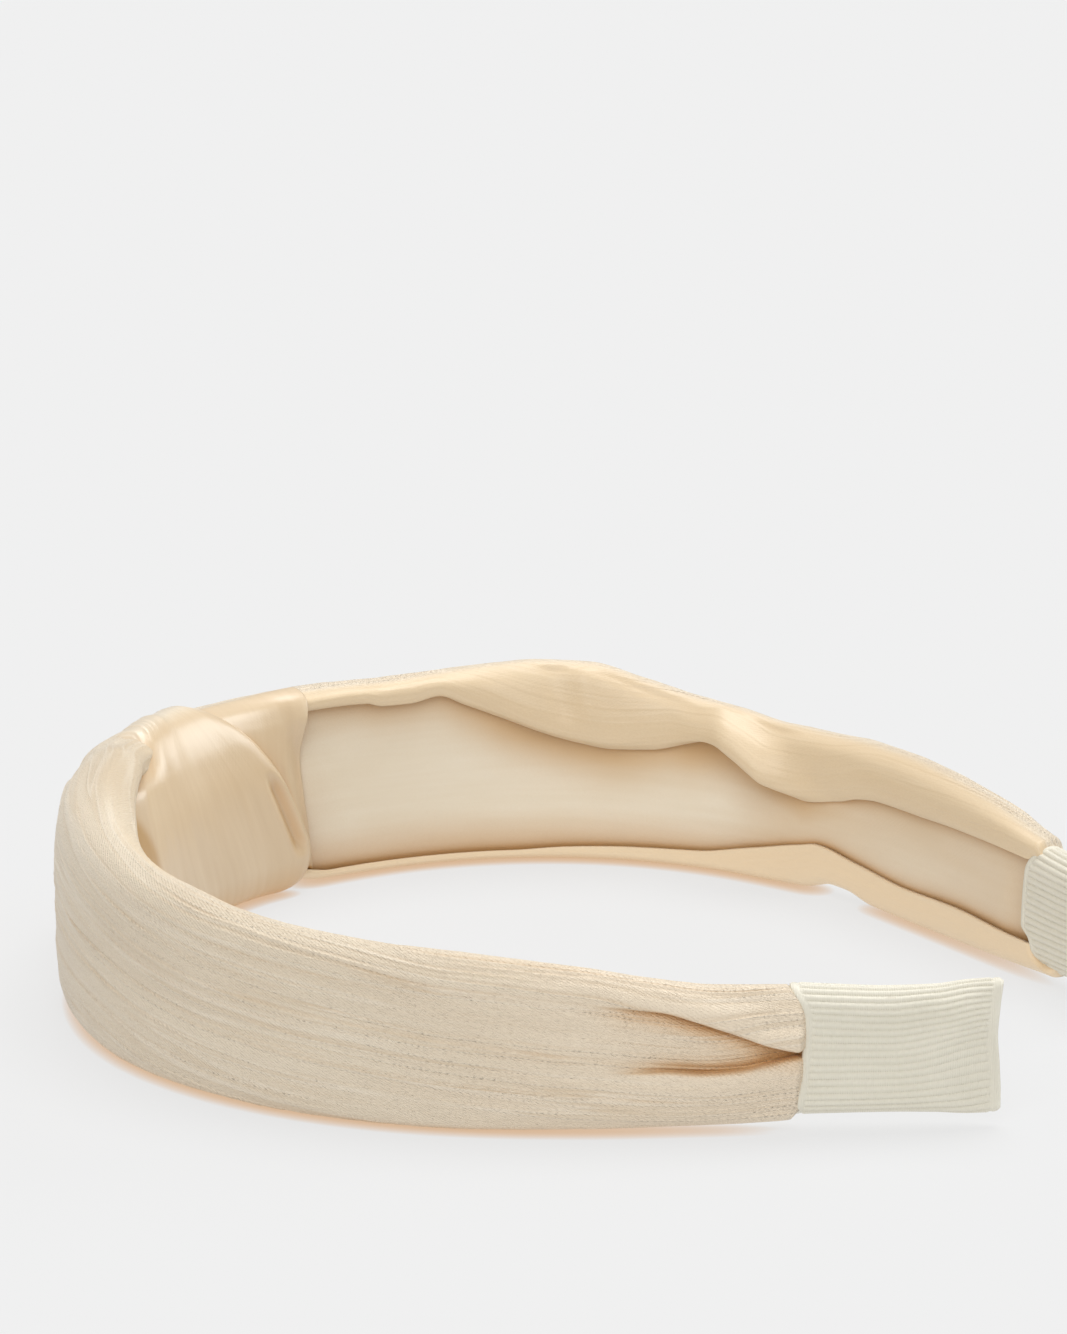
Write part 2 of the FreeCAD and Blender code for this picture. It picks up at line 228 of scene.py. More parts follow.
def tube(name, O, uv):
    """Solid from sections that wrap round, with zipped flat ends (M even)."""
    K, M = O.shape[:2]
    V = O.reshape(-1, 3)
    F = [grid_faces(K, M, 0, False, True)]
    h = np.arange(M // 2 - 1)
    for base, flip in ((0, True), ((K - 1) * M, False)):
        f = np.stack([base + h, base + h + 1, base + M - 2 - h, base + M - 1 - h], -1)
        F.append(f if flip else f[:, ::-1])
    return make(name, V, np.concatenate(F), uv.reshape(-1, 2))


# ---------------------------------------------------------------------------
# gathered satin cover, one run from the knot to each tip
# ---------------------------------------------------------------------------
TOPZ = {
    "left": [(0, 29.9), (8, 29.6), (16, 29.3), (24, 29.25), (32, 29.0), (40, 28.6), (48, 29.0), (56, 29.6), (64, 30.1),
             (72, 29.8), (80, 27.8), (88, 26.0), (96, 25.1), (104, 24.2), (112, 24.2), (120, 24.5), (128, 24.5), (136, 24.1),
             (144, 23.4), (150, 22.7), (156, 21.6), (162, 20.6), (175, 20.0)],
    "right": [(0, 30.2), (14, 30.3), (19, 31.2), (23, 31.9), (30, 32.0), (42, 31.3), (50, 30.1), (60, 28.5), (68, 27.6), (76, 26.9),
              (84, 25.7), (92, 24.9), (100, 24.3), (108, 23.8), (116, 23.3), (124, 22.6), (132, 21.7), (140, 20.4), (148, 19.5),
              (155.0, 19.4), (160, 19.3), (175, 19.0)],
}
BOTZ = {
    "left": [(0, 1.8), (22, 1.8), (28, 0.5), (40, 0.15), (99, 0.1), (108, 0.5), (114.2, 1.9), (118, 1.7), (123, 0.7), (131, 0.45), (144, 0.7), (155.5, 1.1), (165, 1.6), (175, 2.0)],
    "right": [(0, 1.8), (8, 1.8), (14, 0.5), (24, 0.1), (110, 0.1), (132, 0.4), (148, 1.0), (155.5, 1.5), (160, 1.8), (175, 2.0)],
}
FLAPZ = {   # lower edge of the rolled top, on the inner face
    "left": [(0, 26.0), (14, 26.4), (22, 26.8), (28, 27.0), (31, 27.0), (34, 26.9), (39.3, 25.4), (43.7, 25.3),
             (48.4, 26.0), (52.6, 24.4), (58.5, 22.1), (64.2, 20.0), (70, 18.4), (75.9, 17.5), (81.8, 17.8), (87.9, 19.1), (94.3, 20.1),
             (98.2, 19.0), (104.4, 15.9), (110.3, 14.1), (115.7, 14.9), (120.6, 16.4), (125.3, 17.0), (134.2, 17.1), (143.4, 17.4),
             (152.7, 17.5), (175, 17.2)],
    "right": [(0, 26.0), (16, 26.4), (22, 27.0), (28, 26.8), (40, 25.4), (52, 22.6), (64, 20.0), (76, 19.6), (88, 17.4), (100, 16.9),
              (112, 17.4), (124, 15.9), (136, 14.6), (150, 14.4), (158.4, 13.8), (175, 13.5)],
}
LOWZ = {    # upper edge of the fold along the bottom, on the inner face
    "left": [(0, 5.0), (24, 3.0), (30, 2.0), (50, 1.8), (60, 1.8), (67.6, 2.2), (75, 2.5), (89.3, 3.1), (98.8, 4.9), (108, 7.0), (111.6, 7.7),
             (119.7, 6.6), (131.4, 5.5), (143.8, 5.8), (156.3, 5.4), (175, 6.0)],
    "right": [(0, 5.0), (24, 4.0), (40, 4.4), (56, 3.6), (72, 4.6), (90, 5.2), (110, 4.4), (130, 5.0), (150, 5.2), (175, 6.0)],
}
OUTN = {
    "left": [(0, 7.6), (10, 8.3), (18, 8.1), (26, 6.9), (34, 5.9), (46, 4.9), (60, 4.0), (80, 3.5), (110, 3.3), (140, 3.2), (155.5, 3.0), (175, 2.8)],
    "right": [(0, 7.6), (9, 8.3), (14, 7.9), (20, 6.7), (28, 6.0), (38, 5.5), (46, 4.9), (60, 4.0), (80, 3.5), (110, 3.4), (140, 3.4), (150, 3.3),
              (155.5, 3.1), (175, 2.8)],
}
ROLLN = {
    "left": [(0, -2.3), (20, -2.5), (26, -3.2), (34, -3.0), (44, -2.9), (54, -3.7), (64, -4.9), (74, -4.6), (84, -3.8), (91, -5.2), (97, -6.6), (102, -6.5),
             (107, -4.9), (112, -3.7), (120, -3.3), (130, -3.3), (150, -2.9), (155.5, -2.7), (175, -2.5)],
    "right": [(0, -2.3), (13, -2.5), (20, -3.7), (26, -4.9), (34, -5.4), (44, -5.2), (54, -4.3), (64, -3.5), (80, -3.0), (130, -2.9), (155.5, -2.7),
              (175, -2.5)],
}
# how far the crest leans inward: 0 upright, 1 the crest sits over the inner roll
LEAN = {
    "left": [(0, 0.0), (40, 0.0), (60, 0.25), (80, 0.2), (100, 0.35), (120, 0.1), (160, 0.0)],
    "right": [(0, 0.0), (14, 0.1), (22, 0.85), (30, 1.0), (44, 0.9), (60, 0.4), (76, 0.12), (110, 0.0), (175, 0.0)],
}
CREASE_UP = [(128, 17.9), (134.1, 17.5), (141.2, 17.1), (144.7, 16.3), (148.3, 15.1), (151.8, 13.9), (155.4, 12.6), (158.9, 11.9), (175, 11.6)]
CREASE_LO = [(130, 8.6), (141.3, 8.5), (146.6, 8.0), (151.1, 8.3), (155.4, 9.2), (158.9, 9.9), (175, 10.0)]
SLOPE = {   # 0 the roll's inner face is upright, 1 it slants out to its lower edge
    "left": [(0, 0.1), (40, 0.2), (56, 0.35), (66, 0.75), (76, 0.6), (84, 0.3), (92, 0.9), (103, 1.0), (109, 0.45), (116, 0.2), (160, 0.25)],
    "right": [(0, 0.1), (60, 0.2), (120, 0.3), (175, 0.2)],
}
FABRIC_W = 72.0
A_END = 171.0
RIB_LO = {   # where the ribbon starts, by height
    "left": [(0, 167.2), (2.4, 166.2), (3.2, 164.2), (4.2, 162.2), (6.2, 161.2), (7.8, 159.4), (10.5, 159.5), (15.5, 160.0), (17.5, 160.8),
             (19.9, 162.4), (22, 162.6)],
    "right": [(0, 158.1), (2.2, 158.2), (5.1, 158.6), (9.9, 159.1), (15.3, 159.3), (16.9, 159.0), (18.6, 158.1), (19.7, 157.6), (22, 157.4)],
}


def cover_base(side, a):
    zt, zb = ip(TOPZ[side], a), ip(BOTZ[side], a)
    zf, zl = ip(FLAPZ[side], a), ip(LOWZ[side], a)
    no, ni = ip(OUTN[side], a), ip(ROLLN[side], a)
    ln = ip(LEAN[side], a)
    sl = ip(SLOPE[side], a)
    zl = np.minimum(np.maximum(zl, zb + 1.6), zf - 1.0)
    zf = np.minimum(zf, zt - 2.6)
    h = zt - zb
    zm = (zt + zb) / 2
    rh = zt - zf
    nedge = -2.75 * np.ones_like(a)
    nedge = nedge + (ni + 0.9 - nedge) * np.clip(sl - 0.5, 0, 1) * 0.9 * (ni < -4.0)
    nib = -2.9 * np.ones_like(a)
    near = 1 - step(a, 8, 26)                 # under and beside the knot
    r = np.minimum(1.0, rh / 7.0)
    crest = 0.35 + ln * (ni * 0.36 - 0.35)
    c = [
        (nedge, zf),
        (nedge + (ni - nedge) * (0.62 + 0.3 * sl), zf + rh * (0.12 - 0.04 * sl)),
        (ni * (1 - 0.02 * sl), zf + rh * (0.36 - 0.12 * sl)),
        (ni * (1 - 0.20 * sl), zf + rh * (0.60 - 0.08 * sl)),
        (ni * (0.86 - 0.36 * sl) + 0.25 * near, zt - 1.7 * r),
        (crest + (ni * (0.52 - 0.2 * sl) - crest) * 0.6, zt - 0.28),
        (crest + 0.45, zt),
        (no * 0.62 - ln * 0.55, zt - 0.65 - 0.9 * ln),
        (no * 0.93 - ln * 0.35, zt - 2.3 - 2.4 * ln),
        (no + 0.18 - ln * 0.1, zm + h * (0.22 - 0.02 * ln)),
        (no + 0.25, zm - h * 0.02),
        (no + 0.16, zm - h * 0.25),
        (no * 0.93, zb + 2.2),
        (no * 0.66, zb + 0.55),
        (no * 0.2, zb),
        (nib * 0.55, zb + 0.1),
        (nib, zb + 0.35 + 0.35 * np.minimum(zl - zb, 2.2)),
        (nib + 0.12, zl),
    ]
    return np.stack([np.stack([p * np.ones_like(a), q * np.ones_like(a)], -1) for p, q in c], 1)


def ridge_set(seed, count, width, span, q, a):
    """Irregular lengthwise ribs: sharp little ridges that start, wander and fade."""
    rng = np.random.RandomState(seed)
    d = np.zeros(np.broadcast(q, a).shape)
    for i in range(count):
        c = span * (i + rng.uniform(0.15, 0.85)) / count
        amp = rng.uniform(0.35, 1.0)
        w = rng.uniform(0.7, 1.4) * width
        wander = 0.8 * noise(a / 38.0, i + 3.3, seed + 1) + 0.25 * noise(a / 11.0, i + 9.3, seed + 2)
        on = np.clip(0.55 + 1.1 * noise(a / rng.uniform(22, 48), i * 7.7 + 0.5, seed + 3), 0, 1)
        e = q - c - wander
        d += amp * on * (np.exp(-(e / w) ** 2) - 0.75 * np.exp(-((e + 1.25 * w) / (1.15 * w)) ** 2))
    return d


def cover(side):
    K = 420
    M = 300
    a = np.concatenate([np.linspace(0.2, 120, int(K * 0.60), endpoint=False), np.linspace(120, A_END, K - int(K * 0.60))])
    B, L = spline(cover_base(side, a), M)
    N = normals2(B)
    q = np.linspace(0, 1, M)[None, :] * FABRIC_W
    A = a[:, None]
    n0, z0 = B[..., 0], B[..., 1]
    tail = step(A, 153.0, 158.6)
    edge = np.minimum(q, FABRIC_W - q)
    ef = step(edge, 0.0, 2.0)
    sd = 11 if side == "left" else 51
    # density of ribs in fabric millimetres, compressed at the gathers
    drift = (0.115 if side == "right" else 0.03) * (A - 60.0 - np.maximum(A - 128.0, 0) * 0.8)
    qs = q - drift
    rib = ridge_set(sd, 40, 0.27, FABRIC_W + 22, qs + 11, A)
    rib2 = ridge_set(sd + 20, 80, 0.20, FABRIC_W + 22, qs + 11, A)
    broad = noise(qs / 4.2, A / 34.0, sd + 5) * 0.22 + noise(qs / 2.0, A / 22.0, sd + 6) * 0.12
    amp = 0.20 if side == "right" else 0.15
    smooth_knot = 1.0
    if side == "right":
        # the raised fabric beside the knot is smoother high up
        smooth_knot = 1 - 0.75 * (1 - step(A, 34, 62)) * step(z0, 17, 24)
    inw = step(-n0, -0.2, 1.6)
    calm = (1 - 0.72 * inw) if side == "left" else (1 - 0.3 * inw)
    d = (rib * amp + rib2 * amp * 0.5 + broad * (0.55 if side == "right" else 0.45)) * ef * (1 - 0.6 * tail) * smooth_knot * calm
    # cross crinkle
    d += 0.03 * noise(q / 1.1, A / 1.7, sd + 8) * ef * calm
    if side == "right":
        outer = step(n0, 0.6, 1.6)
        c1, c2 = ip(CREASE_UP, a)[:, None], ip(CREASE_LO, a)[:, None]
        g1, g2 = step(A, 130, 147), step(A, 133, 147)
        over1 = 1 / (1 + np.exp(-(z0 - c1) / 0.16))
        over2 = 1 / (1 + np.exp((z0 - c2) / 0.16))
        below = np.clip(c1 - z0, 0, None)
        above = np.clip(z0 - c2, 0, None)
        fade = 1 - 0.9 * step(A, 158.4, 160.5)
        rel = g1 * (-2.0 * (1 - over1) * np.exp(-(below / 2.3) ** 1.3)
                    + 0.75 * over1 * np.exp(-((z0 - c1 - 1.3) / 2.0) ** 2))
        rel += g2 * (-1.8 * (1 - over2) * np.exp(-(above / 1.9) ** 1.3) * (z0 < c1)
                     + 0.7 * over2 * np.exp(-((c2 - z0 - 1.2) / 2.0) ** 2))
        # tucks in the lower lobe and top edge as they run into the ribbon
        rel += 0.32 * step(A, 142, 156) * noise(z0 / 1.15, A / 60.0, 77)
        d += rel * outer * fade
        # a small pulled thread
        d += 0.22 * np.exp(-(((A - 124.0) / 1.0) ** 2 + ((z0 - 11.9) / 0.5) ** 2)) * outer
    else:
        outer = step(n0, 0.6, 1.6)
        d += 0.5 * step(A, 132, 156) * noise(z0 / 2.2, A / 42.0, 78) * outer * (1 - tail * 0.7)
        inner = step(-n0, 1.2, 2.2)
        # slanting fold across the roll, and hollows each side of it
        cx = 91.5 + (26.0 - z0) * 1.35
        fold = np.exp(-((A - cx) / 3.4) ** 2)
        hollow = np.exp(-((A - cx + 9.0) / 4.5) ** 2) + 0.8 * np.exp(-((A - cx - 8.5) / 4.0) ** 2)
        inz = step(z0, 12, 16)
        d += inner * inz * (0.75 * fold - 0.40 * hollow)
        # shorter creases where the roll starts
        d += inner * 0.4 * np.exp(-((A - 71.5 - (27 - z0) * 0.25) / 1.6) ** 2) * step(z0, 20, 24)
        d -= inner * 0.45 * np.exp(-((A - 67.0 - (27 - z0) * 0.3) / 2.2) ** 2) * step(z0, 20, 24)
    # pleats fanning from the knot on the outside
    pk = (1 - step(A, 14, 40)) * step(n0, 0.8, 3.0)
    d += pk * 0.75 * (noise(q / 2.3, A / 80.0, sd + 9)) * step(A, 2, 10)
    d *= np.where(n0 * 0 + A < 24, 0.5 + 0.5 * step(A, 12, 24), 1.0)
    d = d * (1 - step(A, 159.5, 161.5) * 0.85)
    O = B + N * d[..., None]
    crease_shade, puff = np.zeros_like(d), np.zeros_like(d)
    if side == "right":
        # the lobes hang over the hollow between them
        O[..., 1] -= g1 * outer * fade * 1.25 * over1 * np.exp(-np.clip(z0 - c1, 0, None) / 1.3)
        O[..., 1] += g2 * outer * fade * 1.05 * over2 * np.exp(-np.clip(c2 - z0, 0, None) / 1.2)
        # painted shade: a darker tone high on the raised fabric beside the knot
        puff = step(-n0, -2.6, 0.6) * (1 - step(A, 34, 58)) * step(z0, 13, 19) * np.ones_like(d)
        # painted shade: a warm orange-brown tone in the hollows under the gather lobes
        crease_shade = outer * np.clip(g1 * (1 - over1) * np.exp(-(below / 1.7) ** 1.3) + g2 * (1 - over2) * (z0 < c1) * np.exp(-(above / 1.45) ** 1.3), 0, 1)
    O[..., 0] = np.where(n0 > 1.3, np.maximum(O[..., 0], 1.32), O[..., 0])
    # soft fabric under it, without the fine ribs
    th = 0.42 + 0.35 * np.exp(-edge / 0.7)
    lo = np.minimum(d, 0.0)
    I = B + N * (lo - th)[..., None]
    sg = 1.0 if side == "left" else -1.0
    s = sg * A
    I[..., 0] = np.where(n0 > 1.3, np.maximum(I[..., 0], 0.95), I[..., 0])
    # drawn in under the ribbon's edge
    lo_r = ip(RIB_LO[side], z0)
    pin = step(A, lo_r - 0.5, lo_r + 1.0)
    for G, m in ((O, 0.0), (I, 0.36)):
        G[..., 0] += pin * (np.clip(G[..., 0], -1.95 + m, 1.95 - m) - G[..., 0])
        G[..., 1] += pin * (np.clip(G[..., 1], 3.2 + m, 17.9 - m) - G[..., 1])
    uv = np.stack(np.broadcast_arrays(A / 1000.0, qs / 1000.0), -1)
    o = thin("cover_" + side, P(s, O[..., 0], O[..., 1]), P(s, I[..., 0], I[..., 1]), uv)
    # inward faces: this mask smooths the fine relief, and the material paints shade there as darker, warmer tones of
    # the same fabric
    at = o.data.attributes.new("inward", "FLOAT", "POINT")
    near = (1 - 0.85 * (1 - step(A, 45, 75))) if side == "right" else 1.0
    w = (inw * near * np.ones_like(d)).ravel()
    at.data.foreach_set("value", np.concatenate([w, w]).astype(np.float32))
    # painted light: a lighter tone on the outer face of the right arm, growing toward its tip
    tip = step(A, 98, 140) * (1 - inw) * (1.0 if side == "right" else 0.0) * np.ones_like(d)
    # the low-fold mask is painted bounce light on the inner face below about 9 mm
    for nm, val in (("crease_shade", crease_shade), ("puff", puff), ("tip", tip), ("lowfold_bounce_light", inw * (1 - step(z0, 7.5, 9.5)) * np.ones_like(d))):
        at = o.data.attributes.new(nm, "FLOAT", "POINT")
        at.data.foreach_set("value", np.concatenate([val.ravel(), val.ravel()]).astype(np.float32))
    return o, (a, B)


# ---------------------------------------------------------------------------
# lining, wadding and plastic strip, each bending with the arm
# ---------------------------------------------------------------------------
STRIP_H_CROWN, STRIP_H_TIP, STRIP_END = 23.4, 10.4, 181.0
STRIP_Z_CROWN, STRIP_Z_TIP = 14.6, 10.4


def lining(side):
    a = np.linspace(0.15, 168.0, 260)
    M = 70
    zt, zb = ip(TOPZ[side], a), ip(BOTZ[side], a)
    z0, z1 = zb + 0.95, np.minimum(zt - 2.2, 28.0)
    tail = step(a, 153.5, 158.0)
    z0 = z0 + 0.2 * tail
    v = np.linspace(0, 1, M)[None, :]
    z = z0[:, None] + (z1 - z0)[:, None] * v
    A = a[:, None]
    sd = 31 if side == "left" else 71
    puff = 0.62 * np.sin(np.pi * v) ** 0.8 * (1 - tail[:, None])
    puff = puff * (1 + 0.6 * noise(A / 21.0, v * 2.0, sd)) * (0.25 + 0.60 * step(A, 20, 25) + 0.15 * step(A, 25, 45))
    wr = 0.05 * noise(A / 9.0, z / 2.2, sd + 1) + 0.03 * noise(A / 3.0, z / 5.0, sd + 2)
    nf = -1.36 - puff - wr * np.sin(np.pi * v) * (1 - tail[:, None])
    nb = np.full_like(nf, -0.98)
    s = A * (1.0 if side == "left" else -1.0)
    uv = np.stack(np.broadcast_arrays(A / 1000.0, z / 1000.0), -1)
    o = thin("lining_" + side, P(s, nf, z), P(s, nb, z), uv)
    zf, zl = ip(FLAPZ[side], a)[:, None], ip(LOWZ[side], a)[:, None]
    deep = 0.6 + 0.4 * step(-ip(ROLLN[side], a), 2.9, 4.6)[:, None]
    sh = deep * np.exp(-(np.clip(zf - 0.4 - z, 0, None) / (2.4 + 2.2 * deep)) ** 2) + 0.55 * np.exp(-np.clip(z - zl, 0, None) / 0.7)
    sh = np.maximum(sh, 0.5 * step(A, 90, 106) * (1 - 0.5 * np.exp(-(((A - 132) / 14) ** 2 + ((z - 9) / 3.5) ** 2))) * (side == "left"))
    sh = sh * step(A, 22, 34)
    at = o.data.attributes.new("shade", "FLOAT", "POINT")
    at.data.foreach_set("value", np.tile(np.clip(sh, 0, 1).ravel(), 2).astype(np.float32))
    return o


def wadding(side, base):
    aa, B = base
    a = np.linspace(0.3, 131.0, 150)
    M = 64
    no = ip(OUTN[side], a) - 0.95 - 0.9 * step(a, 100, 131)
    zt, zb = ip(TOPZ[side], a), ip(BOTZ[side], a)
    z0, z1 = zb + 2.4, np.minimum(zt - 3.4, 25.6)
    zm, hz = (z0 + z1) / 2, (z1 - z0) / 2
    t = np.linspace(-1, 1, M // 2)[None, :]
    zo = zm[:, None] + hz[:, None] * np.sin(t * np.pi / 2)
    prof = np.clip(1 - np.abs(np.sin(t * np.pi / 2)) ** 2.4, 0, 1) ** 0.5
    fr = 0.92 + (no[:, None] - 0.92) * prof * 0.92 + 0.25
    fr += 0.1 * noise(a[:, None] / 6.0, zo / 3.0, 91) * prof
    A = np.broadcast_to(a[:, None], fr.shape)
    front = np.stack([A, fr, zo], -1)
    back = np.stack([A, np.full_like(fr, 0.9), zo], -1)[:, ::-1]
    G = np.concatenate([front, back], 1)
    sg = 1.0 if side == "left" else -1.0
    V = P(G[..., 0] * sg, G[..., 1], G[..., 2])
    uv = np.stack([G[..., 0] / 1000, G[..., 2] / 1000], -1)
    return tube("wadding_" + side, V, uv)


def core(side):
    a = np.concatenate([np.linspace(0.05, 176.5, 170), np.linspace(177, STRIP_END, 9)])
    x = np.interp(a, LS, LX)
    xe = np.interp(STRIP_END, LS, LX)
    t = np.clip((a - 50) / (STRIP_END - 50), 0, 1)
    h = STRIP_H_CROWN + (STRIP_H_TIP - STRIP_H_CROWN) * t
    zc = STRIP_Z_CROWN + (STRIP_Z_TIP - STRIP_Z_CROWN) * x / xe
    u = np.clip((a - STRIP_END + 4) / 4, 0, 1)
    h = h - 2 * 3.4 * (1 - np.sqrt(np.maximum(0, 1 - u * u)))
    r = 0.35
    pts = []
    for n, e in ((-0.7 + r, 1), (-0.7, 0.55), (-0.7, -0.55), (-0.7 + r, -1)):
        pass
    prof = [(-0.7, -1, r), (-0.7, -0.5, 0), (-0.7, 0, 0), (-0.7, 0.5, 0), (-0.7, 1, r), (-0.7 + r, 1, 0),
            (0.7 - r, 1, 0), (0.7, 1, r), (0.7, 0.5, 0), (0.7, 0, 0), (0.7, -0.5, 0), (0.7, -1, r), (0.7 - r, -1, 0), (-0.7 + r, -1, 0)]
    n = np.array([p[0] for p in prof])[None, :] * np.ones((len(a), 1))
    z = zc[:, None] + (h / 2)[:, None] * np.array([p[1] for p in prof])[None, :]
    z -= np.array([math.copysign(p[2], p[1]) for p in prof])[None, :]
    # reorder so that the two faces zip shut at the ends
    order = [13, 0, 1, 2, 3, 4, 5, 6, 7, 8, 9, 10, 11, 12]
    n, z = n[:, order], z[:, order]
    sg = 1.0 if side == "left" else -1.0
    V = P(sg * a[:, None], n, z)
    uv = np.stack(np.broadcast_arrays(a[:, None] / 1000.0, z / 1000.0), -1)
    return tube("strip_" + side, V, uv)


# ---------------------------------------------------------------------------
# knot: folded bundle in front of the crown and the wrap round the band
# ---------------------------------------------------------------------------
EDGE_IN = [(-1, 22.6), (0.5, 23.0), (2.1, 24.2), (5.4, 25.0), (9.5, 23.3), (14.8, 20.8), (19.7, 17.8), (25.5, 12.5), (31.4, 4.8), (33.8, -0.7)]
EDGE_LO = [(-1, -15.0), (0.5, -16.0), (8, -22.0), (13, -25.0), (18, -27.0), (24, -27.4), (27, -25.4), (29, -21.8), (31.4, -15.2), (33.8, -13.4)]
EDGE_LO_OUT = [(-1, -15.0), (16, -15.5), (26, -14.6), (31.4, -13.2), (33.8, -12.5)]
EDGE_OUT = [(-1, 20.0), (2, 19.5), (10, 18.0), (18, 15.0), (24, 11.5), (29, 7.5), (31.4, 4.6), (33.8, 2.0)]


def knot_wrap():
    M = 300       # round the band
    N = 96         # across the wrap
    loop = np.array([(0.2, 0.10), (-2.3, 0.42), (-4.1, 1.8), (-4.95, 4.4), (-5.3, 7.8), (-5.5, 12), (-5.55, 16.0), (-5.4, 19.4), (-5.0, 22.6), (-4.35, 25.8),
                     (-3.2, 28.6), (-1.6, 30.7), (0.6, 31.75), (3.2, 31.2), (6.0, 28.9), (9.0, 25.2), (11.4, 20.2), (12.3, 14.8), (11.4, 9.2), (9.2, 4.4),
                     (6.4, 1.3), (3.2, 0.25)])
    B, L = spline(loop[None], M, closed=True)
    B = B[0]
    Nn = normals2(B[None], closed=True)[0]
    L = L[0]
    v = np.linspace(0, L, M, endpoint=False)
    inner = step(-B[:, 0], -1.0, 2.0)
    hi = ip(EDGE_IN, B[:, 1]) * inner + ip(EDGE_OUT, B[:, 1]) * (1 - inner)
    lo = ip(EDGE_LO, B[:, 1]) * inner + ip(EDGE_LO_OUT, B[:, 1]) * (1 - inner)
    # edges soften a little where they pass over the top and under
    k = np.ones(9) / 9
    pad = lambda x: np.concatenate([x[-4:], x, x[:4]])
    for _ in range(3):
        hi, lo = np.convolve(pad(hi), k, "valid"), np.convolve(pad(lo), k, "valid")
    hi = hi + 0.35 * np.interp(v, v, noise(v / 6.0, 0.5, 401))
    waist = (1 - inner) * np.exp(-((B[:, 1] - 16.0) / 8.5) ** 2)
    hi = hi - waist * 2.6
    lo = lo + waist * 2.2
    e = np.linspace(0, 1, N)
    w = (0.5 - 0.5 * np.cos(np.pi * e)) * 0.35 + e * 0.65       # denser near both edges
    S = lo[None, :] + (hi - lo)[None, :] * w[:, None]
    width = (hi - lo)[None, :]
    wm = w[:, None] * width                        # mm from the low edge
    we = np.minimum(wm, width - wm)
    zz = np.broadcast_to(B[:, 1][None, :], S.shape)
    inn = np.broadcast_to(inner[None, :], S.shape)
    c = w[:, None] * 36.0
    V = np.broadcast_to(v[None, :], S.shape)
    plain = 1 - 0.9 * step(zz, 15, 21) * inn
    d = 0.07 * ridge_set(301, 24, 0.42, 36.0, c, V / 1.0) * plain
    d += 0.04 * ridge_set(303, 52, 0.24, 36.0, c, V) * plain
    d += (0.16 * noise(c / 5.5, V / 40.0, 305) + 0.06 * noise(c / 2.6, V / 26.0, 306)) * (0.35 + 0.65 * plain)
    # outside: deeper folds running round the knot
    low = 1 - step(zz, 27.5, 31.5)
    bow = c + 0.9 * np.sin(zz / 9.0)
    pl = ridge_set(309, 9, 1.5, 36.0, bow, V / 6.0)
    d += (1 - inn) * low * (0.95 * pl + 0.45 * noise(bow / 2.7, V / 60.0, 307) + 0.12 * ridge_set(311, 34, 0.3, 36.0, bow, V))
    # rounded, turned-under edges
    d -= 1.0 * np.exp(-(we / 0.55)) + 0.45 * np.exp(-(we / 2.2) ** 2) * (1 - 0.4 * inn)
    # hollow beside a rolled lip at the left arm's edge, on the inner face
    hb = width - wm
    zone = step(zz, 5.5, 9.0) * (1 - step(zz, 16.5, 20.5)) * inn
    d -= 1.25 * zone * np.exp(-((hb - 2.9) / 1.15) ** 2)
    d += 0.25 * zone * np.exp(-((hb - 0.9) / 0.7) ** 2)
    # the belly of the knot narrows at its ends
    sc = (S - 1.0) / 20.0
    out = step(B[:, 0], 3.0, 9.0)[None, :]
    d -= out * 3.4 * sc**2
    # band leaves the wrap snug at the sides
    O = B[None] + Nn[None] * d[..., None]
    th = 0.55
    I = B[None] + Nn[None] * (np.minimum(d, 0.3) - th)[..., None]
    sink = 1.2 * step(-S, 1, 20) * step(zz, 18, 32)
    dive = 1.7 * step(-S, 20.0, 27.5) * inn
    O[..., 0] += dive
    I[..., 0] += dive
    sink = sink + 1.9 * step(-S, 10.5, 15.5) * step(zz, 25, 31)
    O[..., 1] = np.maximum(O[..., 1] - sink, 0.02)
    I[..., 1] = np.maximum(I[..., 1] - sink, 0.45)
    uv = np.stack(np.broadcast_arrays(V / 1000.0, c / 1000.0), -1)
    o = ring("knot_wrap_fabric", P(S, O[..., 0], O[..., 1]), P(S, I[..., 0], I[..., 1]), uv)
    # painted shade: a dark golden tone on the inner face along the wrap's low edge, in the crevice beside the near
    # roll
    gap_shade = step(-(S + 18.7 + (zz - 12.5) * 0.70), -2.3, 0.0) * inn * step(zz, 8, 12) * (1 - step(zz, 25, 27))
    for nm, val in (("outside", (1 - inn) * np.ones_like(d)), ("gap_shade", gap_shade * np.ones_like(d))):
        at = o.data.attributes.new(nm, "FLOAT", "POINT")
        at.data.foreach_set("value", np.concatenate([val.ravel(), val.ravel()]).astype(np.float32))
    return o


COLLAR_EDGE = {
    "left": [(0, 27.0), (2.3, 26.7), (5.7, 26.1), (8.8, 25.7), (13.5, 24.9), (19.7, 24.1), (23.8, 23.9), (28.5, 25.0), (30.3, 25.5), (34, 26.0)],
    "right": [(0, 24.0), (6, 27.0), (12, 29.5), (20, 30.6), (26, 30.0), (34, 30.0)],
}


